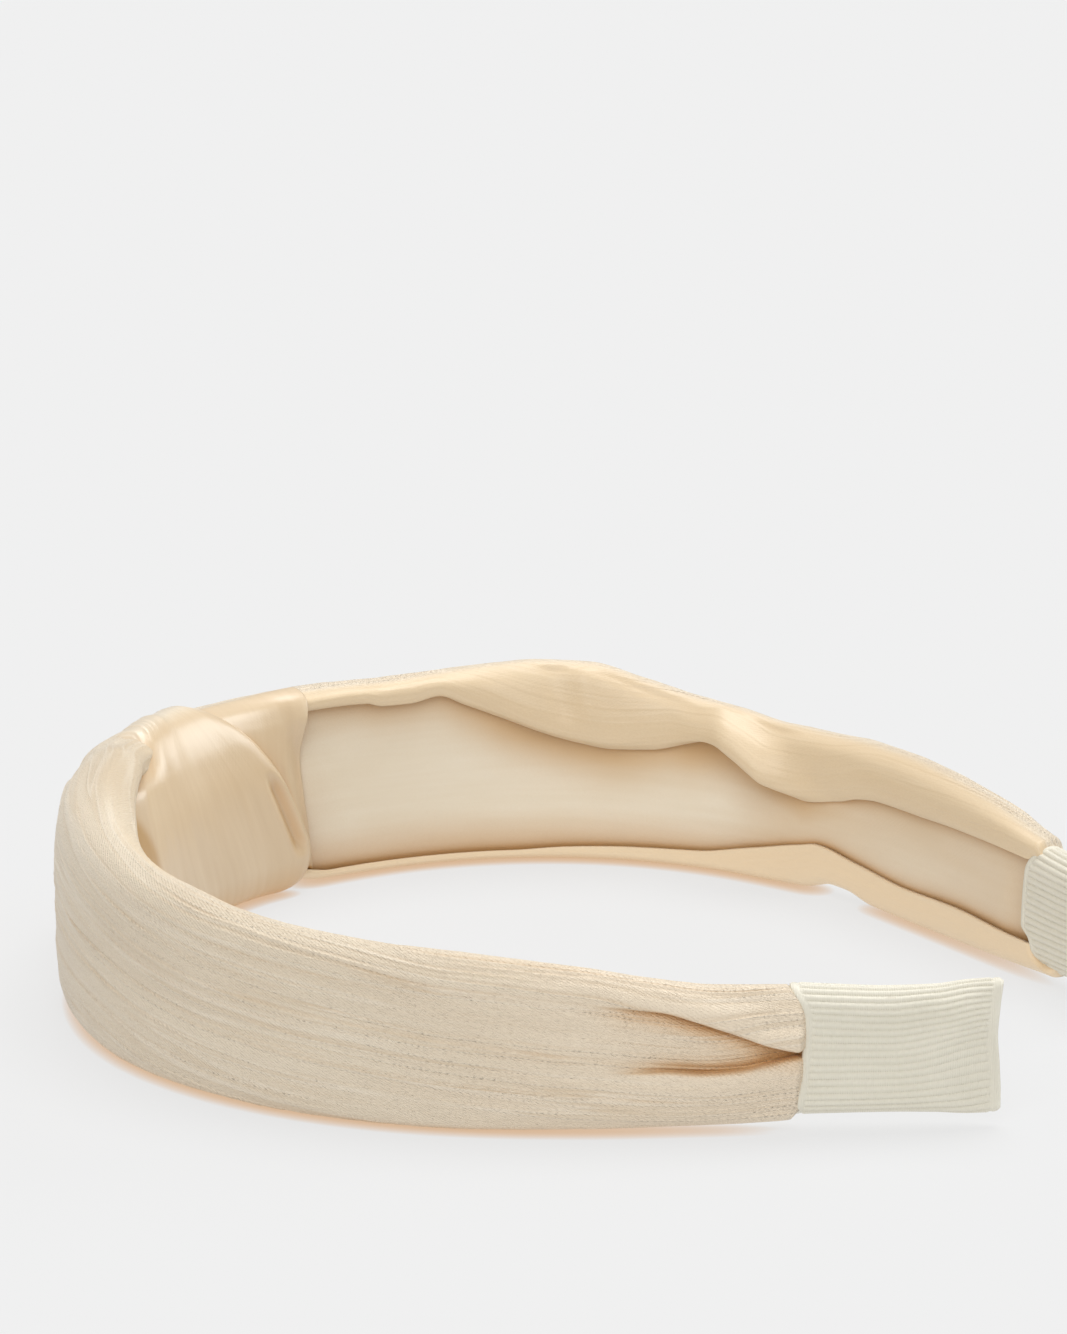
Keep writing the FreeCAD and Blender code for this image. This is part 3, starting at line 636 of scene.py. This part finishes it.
def collar(side):
    """Turn of fabric beside the wrap, laid over the rolled edges and the lining."""
    K, M = 90, 220
    e = np.linspace(0, 1, K)[:, None]
    a = 2.0 + 25.0 * np.linspace(0, 1, K)
    zt, zb = ip(TOPZ[side], a), ip(BOTZ[side], a)
    ni = ip(ROLLN[side], a)
    zt2 = np.minimum(zt, 31.4)
    out = step(a, 16, 26)
    nm = -3.3 + 1.25 * out
    c = [(2.7, zt2 - 1.9), (1.7, zt2 - 0.5), (0.3, zt2 + 0.14), (ni * 0.80, zt2 - 0.85 + 0.2 * out), (ni - 0.50, zt2 - 2.9),
         (np.minimum(ni - 0.3, -3.25), 24.6), (nm - 0.1, 20.5), (nm, 15.0),
         (nm, 9.0), (nm + 0.1 * out, 5.6), (nm + 0.25 * out, zb + 2.6), (nm + 0.5, zb + 1.7), (nm + 1.0, zb + 1.35)]
    if side == "right":
        # only a flap under the rolled edge here
        c[:6] = [(-1.6, 27.4), (-1.75, 26.8), (-1.95, 26.0), (-2.15, 24.8), (-2.35, 23.4), (-2.55, 21.9)]
        c[6:10] = [(-2.6, 20.0), (-2.6, 15.0), (-2.6, 9.0), (-2.6, 5.6)]
        c[10:] = [(-2.4, zb + 2.6), (-2.1, zb + 1.7), (-1.8, zb + 1.35)]
    B, L = spline(np.stack([np.stack([p + 0 * a, q + 0 * a], -1) for p, q in c], 1), M)
    N = normals2(B)
    hi = ip(COLLAR_EDGE[side], B[..., 1])
    beg = np.maximum(ip(EDGE_IN, B[..., 1]) - 4.5, 0.6) if side == "left" else 12.0 + 0 * hi
    S = beg + (hi - beg) * e
    v = np.linspace(0, 1, M)[None, :] * 46.0
    dist = hi - S
    d = -0.28 * np.exp(-dist / 0.5)
    d = d + (0.22 * noise(S / 3.4, v / 30.0, 701) * step(v, 4, 10) + 0.05 * ridge_set(703, 14, 0.3, 27.0, S, v)) * step(S, 9, 15)
    d = d - 0.35 * np.exp(-((S - 23.0 + (v - 20) * 0.06) / 0.9) ** 2) * step(v, 24, 34)
    d = np.maximum(d, -0.3)
    O = B + N * d[..., None]
    I = B + N * (-0.38)
    O[..., 1] = np.maximum(O[..., 1], 0.02)
    I[..., 1] = np.maximum(I[..., 1], 0.30)
    sg = 1.0 if side == "left" else -1.0
    uv = np.stack(np.broadcast_arrays(v / 1000.0, S / 1000.0), -1)
    return thin("knot_collar_" + side, P(sg * S, O[..., 0], O[..., 1]), P(sg * S, I[..., 0], I[..., 1]), uv)


def knot_folds():
    K, M = 90, 120
    s = np.linspace(-12.0, 9.5, K)
    u = (s - 1) / 15.0
    t = np.linspace(0, 2 * np.pi, M, endpoint=False)[None, :] + np.pi / 2 + np.pi / M
    n1 = (9.3 - 0.9 * ((s - 1) / 15.0) ** 2)[:, None]
    n0 = 7.0
    hz = (9.6 * (1 - 0.2 * u**2))[:, None]
    cn, sn = np.cos(t), np.sin(t)
    n = (n1 + n0) / 2 + (n1 - n0) / 2 * np.sign(cn) * np.abs(cn) ** 0.7
    z = 15.6 + hz * np.sign(sn) * np.abs(sn) ** 0.9
    n = n + 0.15 * noise(z / 2.4, s[:, None] / 40.0, 501) * (cn > 0) * np.abs(cn)
    V = P(s[:, None] + 0 * n, n, z)
    uv = np.stack(np.broadcast_arrays(s[:, None] / 1000.0, t * 12.0 / 1000.0), -1)
    return tube("knot_folds", V, uv)


# ---------------------------------------------------------------------------
# grosgrain ribbon round each tip
# ---------------------------------------------------------------------------
def ribbon(side):
    KS = 150
    M = 672        # 42 cords round it
    cords = 42
    t_tab = [(157.0, 2.78), (164, 2.75), (170.0, 2.62), (176.0, 2.3), (180.0, 1.75), (183.0, 1.15), (185.2, 0.8)]
    top = [(157.0, 19.5), (163, 19.1), (170.0, 18.8), (176, 18.9), (180, 19.4), (184.6, 19.75)]
    bot = [(157.0, 2.1), (163, 2.2), (170.0, 2.25), (176.0, 2.1), (181, 1.75), (184.6, 1.75)]
    s_lo = RIB_LO[side]
    s_hi = [(0, 184.7), (4, 184.7), (8.0, 184.45), (12.6, 184.05), (16, 184.3), (19.9, 184.75), (22, 184.8)]
    e = np.linspace(0, 1, KS)
    w = e * 0.7 + 0.3 * (0.5 - 0.5 * np.cos(np.pi * e))
    hm = M // 2
    # section: front from bottom to top, then back from top to bottom
    th = (np.arange(M) + 0.5) / M * 2 * np.pi
    def section(q):
        T, z1, z0 = ip(t_tab, q)[:, None], ip(top, q)[:, None], ip(bot, q)[:, None]
        H = (z1 - z0) / 2
        ang = np.linspace(0, 2 * np.pi, 721)[None, :]
        cx, cz = np.cos(ang - np.pi / 2), np.sin(ang - np.pi / 2)
        ex = 0.52
        nn = T * np.sign(cx) * np.abs(cx) ** ex
        rz = np.minimum(1.0, T / H)
        zz = H * np.sign(cz) * np.abs(cz) ** 0.9
        # straight faces with rounded ends
        nn = T * np.sign(cx) * (1 - np.clip((np.abs(zz) - (H - T * 1.15)) / (T * 1.15), 0, 1) ** 2) ** 0.5
        pts = np.stack([nn, zz + (z1 + z0) / 2], -1)
        ln = np.concatenate([np.zeros((len(q), 1)), np.cumsum(np.linalg.norm(np.diff(pts, axis=1), axis=-1), 1)], 1)
        out = np.zeros((len(q), M, 2))
        f = (np.arange(M) + 0.5) / M
        for i in range(len(q)):
            out[i, :, 0] = np.interp(f * ln[i, -1], ln[i], pts[i, :, 0])
            out[i, :, 1] = np.interp(f * ln[i, -1], ln[i], pts[i, :, 1])
        return out, ln[:, -1]

    q0 = 157.4 + (184.8 - 157.4) * w
    B, L = section(q0)
    zrel = B[..., 1]
    lo, hi = ip(s_lo, zrel), ip(s_hi, zrel)
    f = (np.arange(M) + 0.5) / M
    S = lo + (hi - lo) * w[:, None]
    Nn = normals2(B, closed=True)
    # winding: make the normal point outward
    if (Nn[:, M // 4, 0]).mean() * B[:, M // 4, 0].mean() < 0:
        Nn = -Nn
    front = np.exp(-((f - 0.30) / 0.16) ** 2) if True else 0
    pull = step(S, 170.5, 182.5) * 1.9
    back = np.exp(-((f - 0.74) / 0.16) ** 2)
    ph = (f[None, :] - (front[None, :] - 0.5 * back[None, :]) * pull / L[:, None]) * cords
    ph = ph + 0.10 * noise(S / 7.0, f[None, :] * cords / 3.0, 601 + (side == "left"))
    c = np.abs(np.sin(np.pi * ph))
    prof = c ** 0.8
    dl, dh = S - lo, hi - S
    selv = step(dl, 0.85, 1.35) * step(dh, 0.95, 1.6)
    d = selv * 0.30 * (prof - 0.72) + (1 - selv) * 0.02
    d -= 0.10 * np.exp(-((dl - 1.05) / 0.22) ** 2) + 0.08 * np.exp(-((dh - 1.2) / 0.25) ** 2)
    # ends rounded over
    d -= 0.28 * np.exp(-dl / 0.22)
    d -= 0.35 * np.exp(-dh / 0.3)
    # soft dents where it was pressed, deeper toward the free end
    face = np.sign(B[..., 0])
    zr = (zrel - 10.6) / 8.0
    dent = (0.45 * np.exp(-(((S - 178.5) / 2.6) ** 2 + ((zrel - 15.2) / 3.2) ** 2))
            - 0.30 * np.exp(-(((S - 180.5) / 2.4) ** 2 + ((zrel - 5.5) / 2.2) ** 2))
            + 0.16 * noise(S / 6.0, zrel / 5.0, 603)) * step(S, 166, 178)
    shift = 0.55 * step(S, 172, 184) * np.sin(zr * 2.6 + 0.6)       # the shut end waves out of flat
    O = B + Nn * d[..., None]
    O[..., 0] += dent * (face > 0) - dent * 0.6 * (face < 0) * -1 * 0.0 + shift
    wall = 0.42
    keep = 140
    t_in = np.minimum(ip(t_tab, q0) - 0.12, 9)
    I = B + Nn * (np.minimum(d, 0.0) - wall)[..., None]
    I[..., 0] += dent * (face > 0) + shift
    thick = np.abs(B[..., 0])
    # inner face never crosses the middle
    mid = shift
    I[..., 0] = mid + np.sign(B[..., 0]) * np.maximum(0.10, np.sign(B[..., 0]) * (I[..., 0] - mid))
    sg = 1.0 if side == "left" else -1.0
    OO, II = P(sg * S, O[..., 0], O[..., 1]), P(sg * S, I[..., 0], I[..., 1])
    uvo = np.stack([S / 1000.0, np.broadcast_to(f[None, :], S.shape) * 40.0 / 1000.0], -1)
    # rounded shut end: two more loops drawn together
    ex = []
    exu = []
    for ds, sc in ((0.10, 0.80), (0.17, 0.45)):
        m = O[-1].copy()
        m[:, 0] = shift[-1] + (m[:, 0] - shift[-1]) * sc
        m[:, 1] = 10.75 + (m[:, 1] - 10.75) * (1 - 0.004 * (1 + 3 * (1 - sc)))
        ex.append(P(sg * (S[-1] + ds), m[:, 0], m[:, 1]))
        exu.append(uvo[-1])
    OO = np.concatenate([OO, np.array(ex)], 0)
    uvo2 = np.concatenate([uvo, np.array(exu)], 0)
    II = II[:keep]
    Ko, Ki = len(OO), len(II)
    V = np.concatenate([OO.reshape(-1, 3), II.reshape(-1, 3)])
    n = Ko * M
    ms = np.append(np.arange(M), 0)
    F = [grid_faces(Ko, M, 0, False, True), grid_faces(Ki, M, n, True, True), strip_faces(ms, ms + n, True)]
    h = np.arange(M // 2 - 1)
    for base, flip in (((Ko - 1) * M, True), (n + (Ki - 1) * M, False)):
        z = np.stack([base + h, base + h + 1, base + M - 2 - h, base + M - 1 - h], -1)
        F.append(z[:, ::-1] if flip else z)
    UV = np.concatenate([uvo2.reshape(-1, 2), uvo[:keep].reshape(-1, 2)])
    return make("ribbon_" + side, V, np.concatenate(F), UV)


# ---------------------------------------------------------------------------
# materials
# ---------------------------------------------------------------------------
class Nodes:
    def __init__(self, name):
        self.m = bpy.data.materials.new(name)
        self.m.use_nodes = True
        self.t = self.m.node_tree
        self.b = self.t.nodes["Principled BSDF"]
        uv = self.t.nodes.new("ShaderNodeTexCoord")
        self.uv = uv.outputs["UV"]

    def map(self, sx, sy, rot=0.0):
        n = self.t.nodes.new("ShaderNodeMapping")
        n.inputs["Scale"].default_value = (sx * 1000, sy * 1000, 1)
        if rot:
            r = self.t.nodes.new("ShaderNodeMapping")
            r.inputs["Rotation"].default_value = (0, 0, rot)
            self.t.links.new(self.uv, r.inputs["Vector"])
            self.t.links.new(r.outputs["Vector"], n.inputs["Vector"])
        else:
            self.t.links.new(self.uv, n.inputs["Vector"])
        return n.outputs["Vector"]

    def noise(self, vec, detail=2.0, rough=0.5):
        n = self.t.nodes.new("ShaderNodeTexNoise")
        n.inputs["Scale"].default_value = 1.0
        n.inputs["Detail"].default_value = detail
        n.inputs["Roughness"].default_value = rough
        self.t.links.new(vec, n.inputs["Vector"])
        return n.outputs["Fac"]

    def wave(self, vec, direction="X", dist=0.0, dscale=1.0):
        n = self.t.nodes.new("ShaderNodeTexWave")
        n.wave_type = "BANDS"
        n.bands_direction = direction
        n.inputs["Scale"].default_value = 1.0
        n.inputs["Distortion"].default_value = dist
        n.inputs["Detail"].default_value = 1.0
        n.inputs["Detail Scale"].default_value = dscale
        self.t.links.new(vec, n.inputs["Vector"])
        return n.outputs["Fac"]

    def math(self, op, a, b=None, clamp=False):
        n = self.t.nodes.new("ShaderNodeMath")
        n.operation = op
        n.use_clamp = clamp
        for i, v in enumerate((a, b)):
            if v is None:
                continue
            if isinstance(v, (int, float)):
                n.inputs[i].default_value = v
            else:
                self.t.links.new(v, n.inputs[i])
        return n.outputs[0]

    def bump(self, height, dist, strength=1.0, normal=None):
        n = self.t.nodes.new("ShaderNodeBump")
        n.inputs["Distance"].default_value = dist
        n.inputs["Strength"].default_value = strength
        self.t.links.new(height, n.inputs["Height"])
        if normal is not None:
            self.t.links.new(normal, n.inputs["Normal"])
        return n.outputs["Normal"]

    def mix(self, fac, a, b):
        n = self.t.nodes.new("ShaderNodeMix")
        n.data_type = "RGBA"
        if isinstance(fac, (int, float)):
            n.inputs["Factor"].default_value = fac
        else:
            self.t.links.new(fac, n.inputs["Factor"])
        for k, v in (("A", a), ("B", b)):
            s = [i for i in n.inputs if i.name == k and i.type == "RGBA"][0]
            if isinstance(v, tuple):
                s.default_value = (*v, 1)
            else:
                self.t.links.new(v, s)
        return [o for o in n.outputs if o.type == "RGBA"][0]

    def link(self, out, name):
        self.t.links.new(out, self.b.inputs[name])

    def tangent(self):
        n = self.t.nodes.new("ShaderNodeTangent")
        n.direction_type = "UV_MAP"
        n.uv_map = "UVMap"
        self.link(n.outputs["Tangent"], "Tangent")


def satin(name, dark, light, rough, aniso, grain, rib, sheen=0.15, spec=0.5, along="s", cavity_shade=(0.74, 0.50, 0.26), reach=0.012,
          power=2.0, local=False, inward=None, ridges=0.0, shade=None, speck=0.52, coat=0.0, outside=None):
    k = Nodes(name)
    long_, cross = (0.045, 0.9) if along == "s" else (0.05, 1.0)
    big = k.noise(k.map(0.035, 0.11), 3.0, 0.55)
    lines = k.noise(k.map(long_, cross), 2.0, 0.5)
    fine = k.noise(k.map(2.0, 2.9, 0.5), 3.0, 0.85)
    f = k.math("ADD", k.math("MULTIPLY", big, 0.66 - 0.6 * speck), k.math("MULTIPLY", lines, 0.34 - 0.4 * speck))
    f = k.math("ADD", f, k.math("MULTIPLY", fine, speck))
    f = k.math("MULTIPLY", k.math("SUBTRACT", f, 0.30), 2.5, clamp=True)
    face = k.mix(f, dark, light)
    if shade:
        at = k.t.nodes.new("ShaderNodeAttribute")
        at.attribute_name = "shade"
        face = k.mix(k.math("MULTIPLY", at.outputs["Fac"], 0.8), face, shade)
    # the wrap's outside faces take the fabric's own tones in place of the painted-shade base
    if outside:
        at = k.t.nodes.new("ShaderNodeAttribute")
        at.attribute_name = "outside"
        face = k.mix(at.outputs["Fac"], face, k.mix(f, outside[0], outside[1]))
        # painted shade: a dark golden tone in the crevice along the wrap's low edge
        at = k.t.nodes.new("ShaderNodeAttribute")
        at.attribute_name = "gap_shade"
        face = k.mix(k.math("MULTIPLY", at.outputs["Fac"], 0.8), face, (0.50, 0.27, 0.06))
    # inward faces: calmer relief, and painted shade as darker, warmer tones of the same fabric
    if inward:
        at = k.t.nodes.new("ShaderNodeAttribute")
        at.attribute_name = "inward"
        inn = at.outputs["Fac"]
        calm = k.math("SUBTRACT", 1.0, k.math("MULTIPLY", inn, 0.85))
        face = k.mix(inn, face, k.mix(f, inward[0], inward[1]))
        # painted bounce light: a lighter warm tone on the low fold of the inner face
        at = k.t.nodes.new("ShaderNodeAttribute")
        at.attribute_name = "lowfold_bounce_light"
        face = k.mix(at.outputs["Fac"], face, (0.85, 0.67, 0.45))
        # painted shade: a darker tone on the raised fabric beside the knot
        at = k.t.nodes.new("ShaderNodeAttribute")
        at.attribute_name = "puff"
        face = k.mix(k.math("MULTIPLY", at.outputs["Fac"], 0.5), face, (0.58, 0.435, 0.265))
        # painted light: a lighter tone on the right arm's outer face toward its tip
        at = k.t.nodes.new("ShaderNodeAttribute")
        at.attribute_name = "tip"
        face = k.mix(k.math("MULTIPLY", at.outputs["Fac"], 0.45), face, (0.92, 0.77, 0.585))
        # painted shade: a warm orange-brown tone in the gather creases
        at = k.t.nodes.new("ShaderNodeAttribute")
        at.attribute_name = "crease_shade"
        face = k.mix(k.math("MULTIPLY", at.outputs["Fac"], 0.92), face, (0.78, 0.42, 0.14))
    if ridges:
        # thin ribs: a pale painted highlight on each crest with a warm painted shadow line beside it
        nz = k.noise(k.map(0.012, 0.30), 1.0, 0.45)
        rd = k.math("POWER", k.math("SUBTRACT", 1.0, k.math("ABSOLUTE", k.math("MULTIPLY", k.math("SUBTRACT", nz, 0.5), 17.0)), clamp=True), 2.0)
        ridge = k.math("MULTIPLY", rd, calm)
        rib_shadow_line = k.math("POWER", k.math("SUBTRACT", 1.0, k.math("ABSOLUTE", k.math("MULTIPLY", k.math("SUBTRACT", nz, 0.535), 20.0)), clamp=True), 1.5)
        face = k.mix(k.math("MULTIPLY", k.math("MULTIPLY", rib_shadow_line, calm), 0.30), face, (0.62, 0.46, 0.28))
        face = k.mix(k.math("MULTIPLY", ridge, 0.30), face, (0.95, 0.87, 0.74))
    # painted shade: the face colour is blended toward the cavity colour where ambient occlusion finds nearby surfaces,
    # in folds, recesses and under edges
    ao = k.t.nodes.new("ShaderNodeAmbientOcclusion")
    ao.samples = 6
    ao.only_local = local
    ao.inputs["Distance"].default_value = reach
    aof = k.math("POWER", ao.outputs["AO"], power, clamp=True)
    k.link(k.mix(aof, cavity_shade, face), "Base Color")
    k.b.inputs["Roughness"].default_value = rough
    rr = k.math("ADD", k.math("MULTIPLY", fine, 0.3 * speck), rough - 0.15 * speck)
    k.link(rr, "Roughness")
    k.b.inputs["Specular IOR Level"].default_value = spec
    k.b.inputs["Sheen Weight"].default_value = sheen
    k.b.inputs["Sheen Roughness"].default_value = 0.4
    k.b.inputs["Sheen Tint"].default_value = (1.0, 0.96, 0.88, 1)
    k.b.inputs["Anisotropic"].default_value = aniso
    if coat:
        k.b.inputs["Coat Weight"].default_value = coat
        k.b.inputs["Coat Roughness"].default_value = 0.3
    k.tangent()
    twill = k.wave(k.map(0.62, 0.62, 0.9), "X", 2.2, 1.6)
    yarn = k.noise(k.map(2.2, 2.9, 0.5), 2.0, 0.7)
    crink = k.noise(k.map(0.075, 1.5), 5.0, 0.68)
    if inward:
        crink, yarn, twill = k.math("MULTIPLY", crink, calm), k.math("MULTIPLY", yarn, calm), k.math("MULTIPLY", twill, calm)
    nrm = k.bump(crink, 0.00005 * rib, 1.0)
    if ridges:
        nrm = k.bump(ridge, 0.00006 * ridges, 1.0, nrm)
    nrm = k.bump(yarn, 0.00015 * grain, 1.0, nrm)
    nrm = k.bump(twill, 0.000035 * grain, 1.0, nrm)
    k.link(nrm, "Normal")
    return k.m


def grosgrain(name):
    k = Nodes(name)
    big = k.noise(k.map(0.10, 0.25), 2.0, 0.5)
    fine = k.noise(k.map(3.0, 1.2), 3.0, 0.6)
    f = k.math("ADD", k.math("MULTIPLY", big, 0.5), k.math("MULTIPLY", fine, 0.5))
    k.link(k.mix(f, (0.69, 0.65, 0.525), (0.84, 0.80, 0.69)), "Base Color")
    k.b.inputs["Roughness"].default_value = 0.42
    k.b.inputs["Specular IOR Level"].default_value = 0.5
    k.b.inputs["Sheen Weight"].default_value = 0.12
    k.b.inputs["Anisotropic"].default_value = 0.35
    k.tangent()
    thr = k.wave(k.map(1.05, 1.05), "X", 0.5, 2.0)
    n = k.bump(thr, 0.00003, 1.0)
    n = k.bump(fine, 0.00005, 1.0, n)
    k.link(n, "Normal")
    return k.m


def wad_mat():
    k = Nodes("wadding_fibre")
    f = k.noise(k.map(1.5, 1.5), 5.0, 0.7)
    k.link(k.mix(f, (0.80, 0.78, 0.72), (0.95, 0.94, 0.90)), "Base Color")
    k.b.inputs["Roughness"].default_value = 0.95
    k.b.inputs["Sheen Weight"].default_value = 0.4
    k.link(k.bump(f, 0.0003, 1.0), "Normal")
    return k.m


def plastic_mat():
    k = Nodes("strip_plastic")
    f = k.noise(k.map(0.2, 0.2), 2.0, 0.5)
    k.link(k.mix(f, (0.83, 0.81, 0.75), (0.88, 0.86, 0.81)), "Base Color")
    k.b.inputs["Roughness"].default_value = 0.5
    k.link(k.bump(k.noise(k.map(4, 4), 2.0), 0.00001, 1.0), "Normal")
    return k.m


# the inward colour pair is painted shade, a darker and warmer copy of this fabric for its inner faces
crinkle = satin("crinkle_satin_fabric", (0.675, 0.555, 0.405), (0.855, 0.75, 0.59), 0.42, 0.35, 1.25, 1.0, 0.2, 0.6,
                cavity_shade=(0.64, 0.36, 0.13), reach=0.003, power=1.0, local=True, inward=((0.71, 0.54, 0.335), (0.80, 0.645, 0.44)), ridges=1.0)
inner_satin = satin("satin_lining_fabric", (0.80, 0.69, 0.52), (0.86, 0.77, 0.62), 0.34, 0.3, 0.12, 0.2, 0.15, 0.6,
                    cavity_shade=(0.60, 0.33, 0.12), reach=0.009, power=2.0, shade=(0.60, 0.385, 0.175), speck=0.10)
# knot satin: its base tones are the cover fabric made darker and warmer, painted shade for the wrap's inner face and
# the collars, also used by the knot folds; the wrap's outside faces go back to the fabric's own tones
wrap_satin = satin("knot_satin_fabric", (0.645, 0.475, 0.285), (0.745, 0.58, 0.38), 0.35, 0.5, 0.08, 0.5, 0.12, 0.9,
                   cavity_shade=(0.64, 0.36, 0.12), reach=0.006, power=1.5, speck=0.06, coat=0.4, outside=((0.68, 0.56, 0.40), (0.84, 0.73, 0.57)))
ribbon_cloth = grosgrain("grosgrain_fabric")
wad = wad_mat()
plast = plastic_mat()


def bend(o):
    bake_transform(o)


made = {}
for side in ("left", "right"):
    cv, base = cover(side)
    cv.data.materials.append(crinkle)
    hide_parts("cover_crown_" + side, "cover_%s_arm" % side)
    ln = lining(side)
    ln.data.materials.append(inner_satin)
    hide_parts(*((["lining_crown"] if side == "left" else []) + ["lining_%s_arm" % side]))
    wd = wadding(side, base)
    wd.data.materials.append(wad)
    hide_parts(*((["wadding_crown"] if side == "left" else []) + ["wadding_%s_arm" % side]))
    co = core(side)
    co.data.materials.append(plast)
    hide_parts(*((["core_strip_crown"] if side == "left" else []) + ["core_strip_%s_arm" % side]))
    for o in (cv, ln, wd, co):
        bend(o)
    rb = ribbon(side)
    rb.data.materials.append(ribbon_cloth)
    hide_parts("ribbon_tab_" + side)
    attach(rb, side + "_arm")
    made[side] = (cv, ln, wd, co, rb)

kw = knot_wrap()
kw.data.materials.append(wrap_satin)
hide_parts("knot_wrap")
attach(kw, "crown")
for side in ("left", "right"):
    cl = collar(side)
    cl.data.materials.append(wrap_satin)
    bend(cl)
    made[side] = made[side] + (cl,)
kf = knot_folds()
kf.data.materials.append(wrap_satin)
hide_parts("knot_bundle")
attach(kf, "crown")

for side in ("left", "right"):
    cv, ln, wd, co, rb, cl = made[side]

# ---------------------------------------------------------------------------
# floor, light and camera
# ---------------------------------------------------------------------------
bpy.ops.mesh.primitive_plane_add(size=6.0, location=(0, 0, -0.0002))
floor = bpy.context.object
floor.name = "floor"
fm = bpy.data.materials.new("floor_paper")
fm.use_nodes = True
ft = fm.node_tree
fb = ft.nodes["Principled BSDF"]
fb.inputs["Base Color"].default_value = (0.14, 0.14, 0.14, 1)
fb.inputs["Roughness"].default_value = 0.9
fb.inputs["Specular IOR Level"].default_value = 0.0
fb.inputs["Emission Color"].default_value = (1, 1, 1, 1)
fb.inputs["Emission Strength"].default_value = 0.685
# painted contact shadow: the floor's glow turns warm orange where ambient occlusion finds the object close by
fa = ft.nodes.new("ShaderNodeAmbientOcclusion")
fa.samples = 8
fa.inputs["Distance"].default_value = 0.0017
fp = ft.nodes.new("ShaderNodeMath")
fp.operation = "POWER"
fp.inputs[1].default_value = 1.3
ft.links.new(fa.outputs["AO"], fp.inputs[0])
fx = ft.nodes.new("ShaderNodeMix")
fx.data_type = "RGBA"
ft.links.new(fp.outputs[0], fx.inputs["Factor"])
[i for i in fx.inputs if i.name == "A" and i.type == "RGBA"][0].default_value = (0.90, 0.62, 0.40, 1)
[i for i in fx.inputs if i.name == "B" and i.type == "RGBA"][0].default_value = (1, 1, 1, 1)
ft.links.new([o for o in fx.outputs if o.type == "RGBA"][0], fb.inputs["Emission Color"])
floor.data.materials.append(fm)

world = bpy.data.worlds.new("studio")
bpy.context.scene.world = world
world.use_nodes = True
bg = world.node_tree.nodes["Background"]
bg.inputs["Color"].default_value = (1.0, 1.0, 1.0, 1)
bg.inputs["Strength"].default_value = 0.45


def area(name, loc, target, size, power, color=(1, 1, 1)):
    d = bpy.data.lights.new(name, "AREA")
    d.shape = "RECTANGLE"
    d.size, d.size_y = size
    d.energy = power
    d.color = color
    o = bpy.data.objects.new(name, d)
    o.location = loc
    o.rotation_euler = (Vector(target) - Vector(loc)).to_track_quat("-Z", "Y").to_euler()
    bpy.context.scene.collection.objects.link(o)
    return o


def sun(name, frm, strength, angle, color=(1, 1, 1)):
    d = bpy.data.lights.new(name, "SUN")
    d.energy = strength
    d.angle = math.radians(angle)
    d.color = color
    o = bpy.data.objects.new(name, d)
    o.rotation_euler = (-Vector(frm)).to_track_quat("-Z", "Y").to_euler()
    bpy.context.scene.collection.objects.link(o)
    return o


sun("overhead", (-0.05, 0.30, 0.95), 1.9, 45)
sun("rim", (0.60, 0.78, 0.32), 0.82, 30, (0.93, 0.98, 1.0))
sun("front", (0.25, -0.80, 0.70), 1.1, 45)

# camera
phi = -0.503122
el = 0.25307
cam = bpy.data.cameras.new("camera")
cam.lens = 5500.0 / 1334.0 * 36.0
cam.sensor_width = 36.0
cam.sensor_fit = "AUTO"
cam.clip_start, cam.clip_end = 0.01, 50
co_ = bpy.data.objects.new("camera", cam)
vx, vy = 50.2598, -752.0841
c_, s_ = math.cos(phi), math.sin(phi)
lx, ly = c_ * vx + s_ * vy, -s_ * vx + c_ * vy
co_.location = ((lx - 63.05) / 1000, ly / 1000, 0.232362)
d_ = Vector((s_ * math.cos(el), c_ * math.cos(el), -math.sin(el)))
co_.rotation_euler = d_.to_track_quat("-Z", "Y").to_euler()
bpy.context.scene.collection.objects.link(co_)
bpy.context.scene.camera = co_

vs = bpy.context.scene.view_settings
vs.view_transform = "Standard"
vs.look = "None"
vs.exposure = 0.0
vs.gamma = 1.0
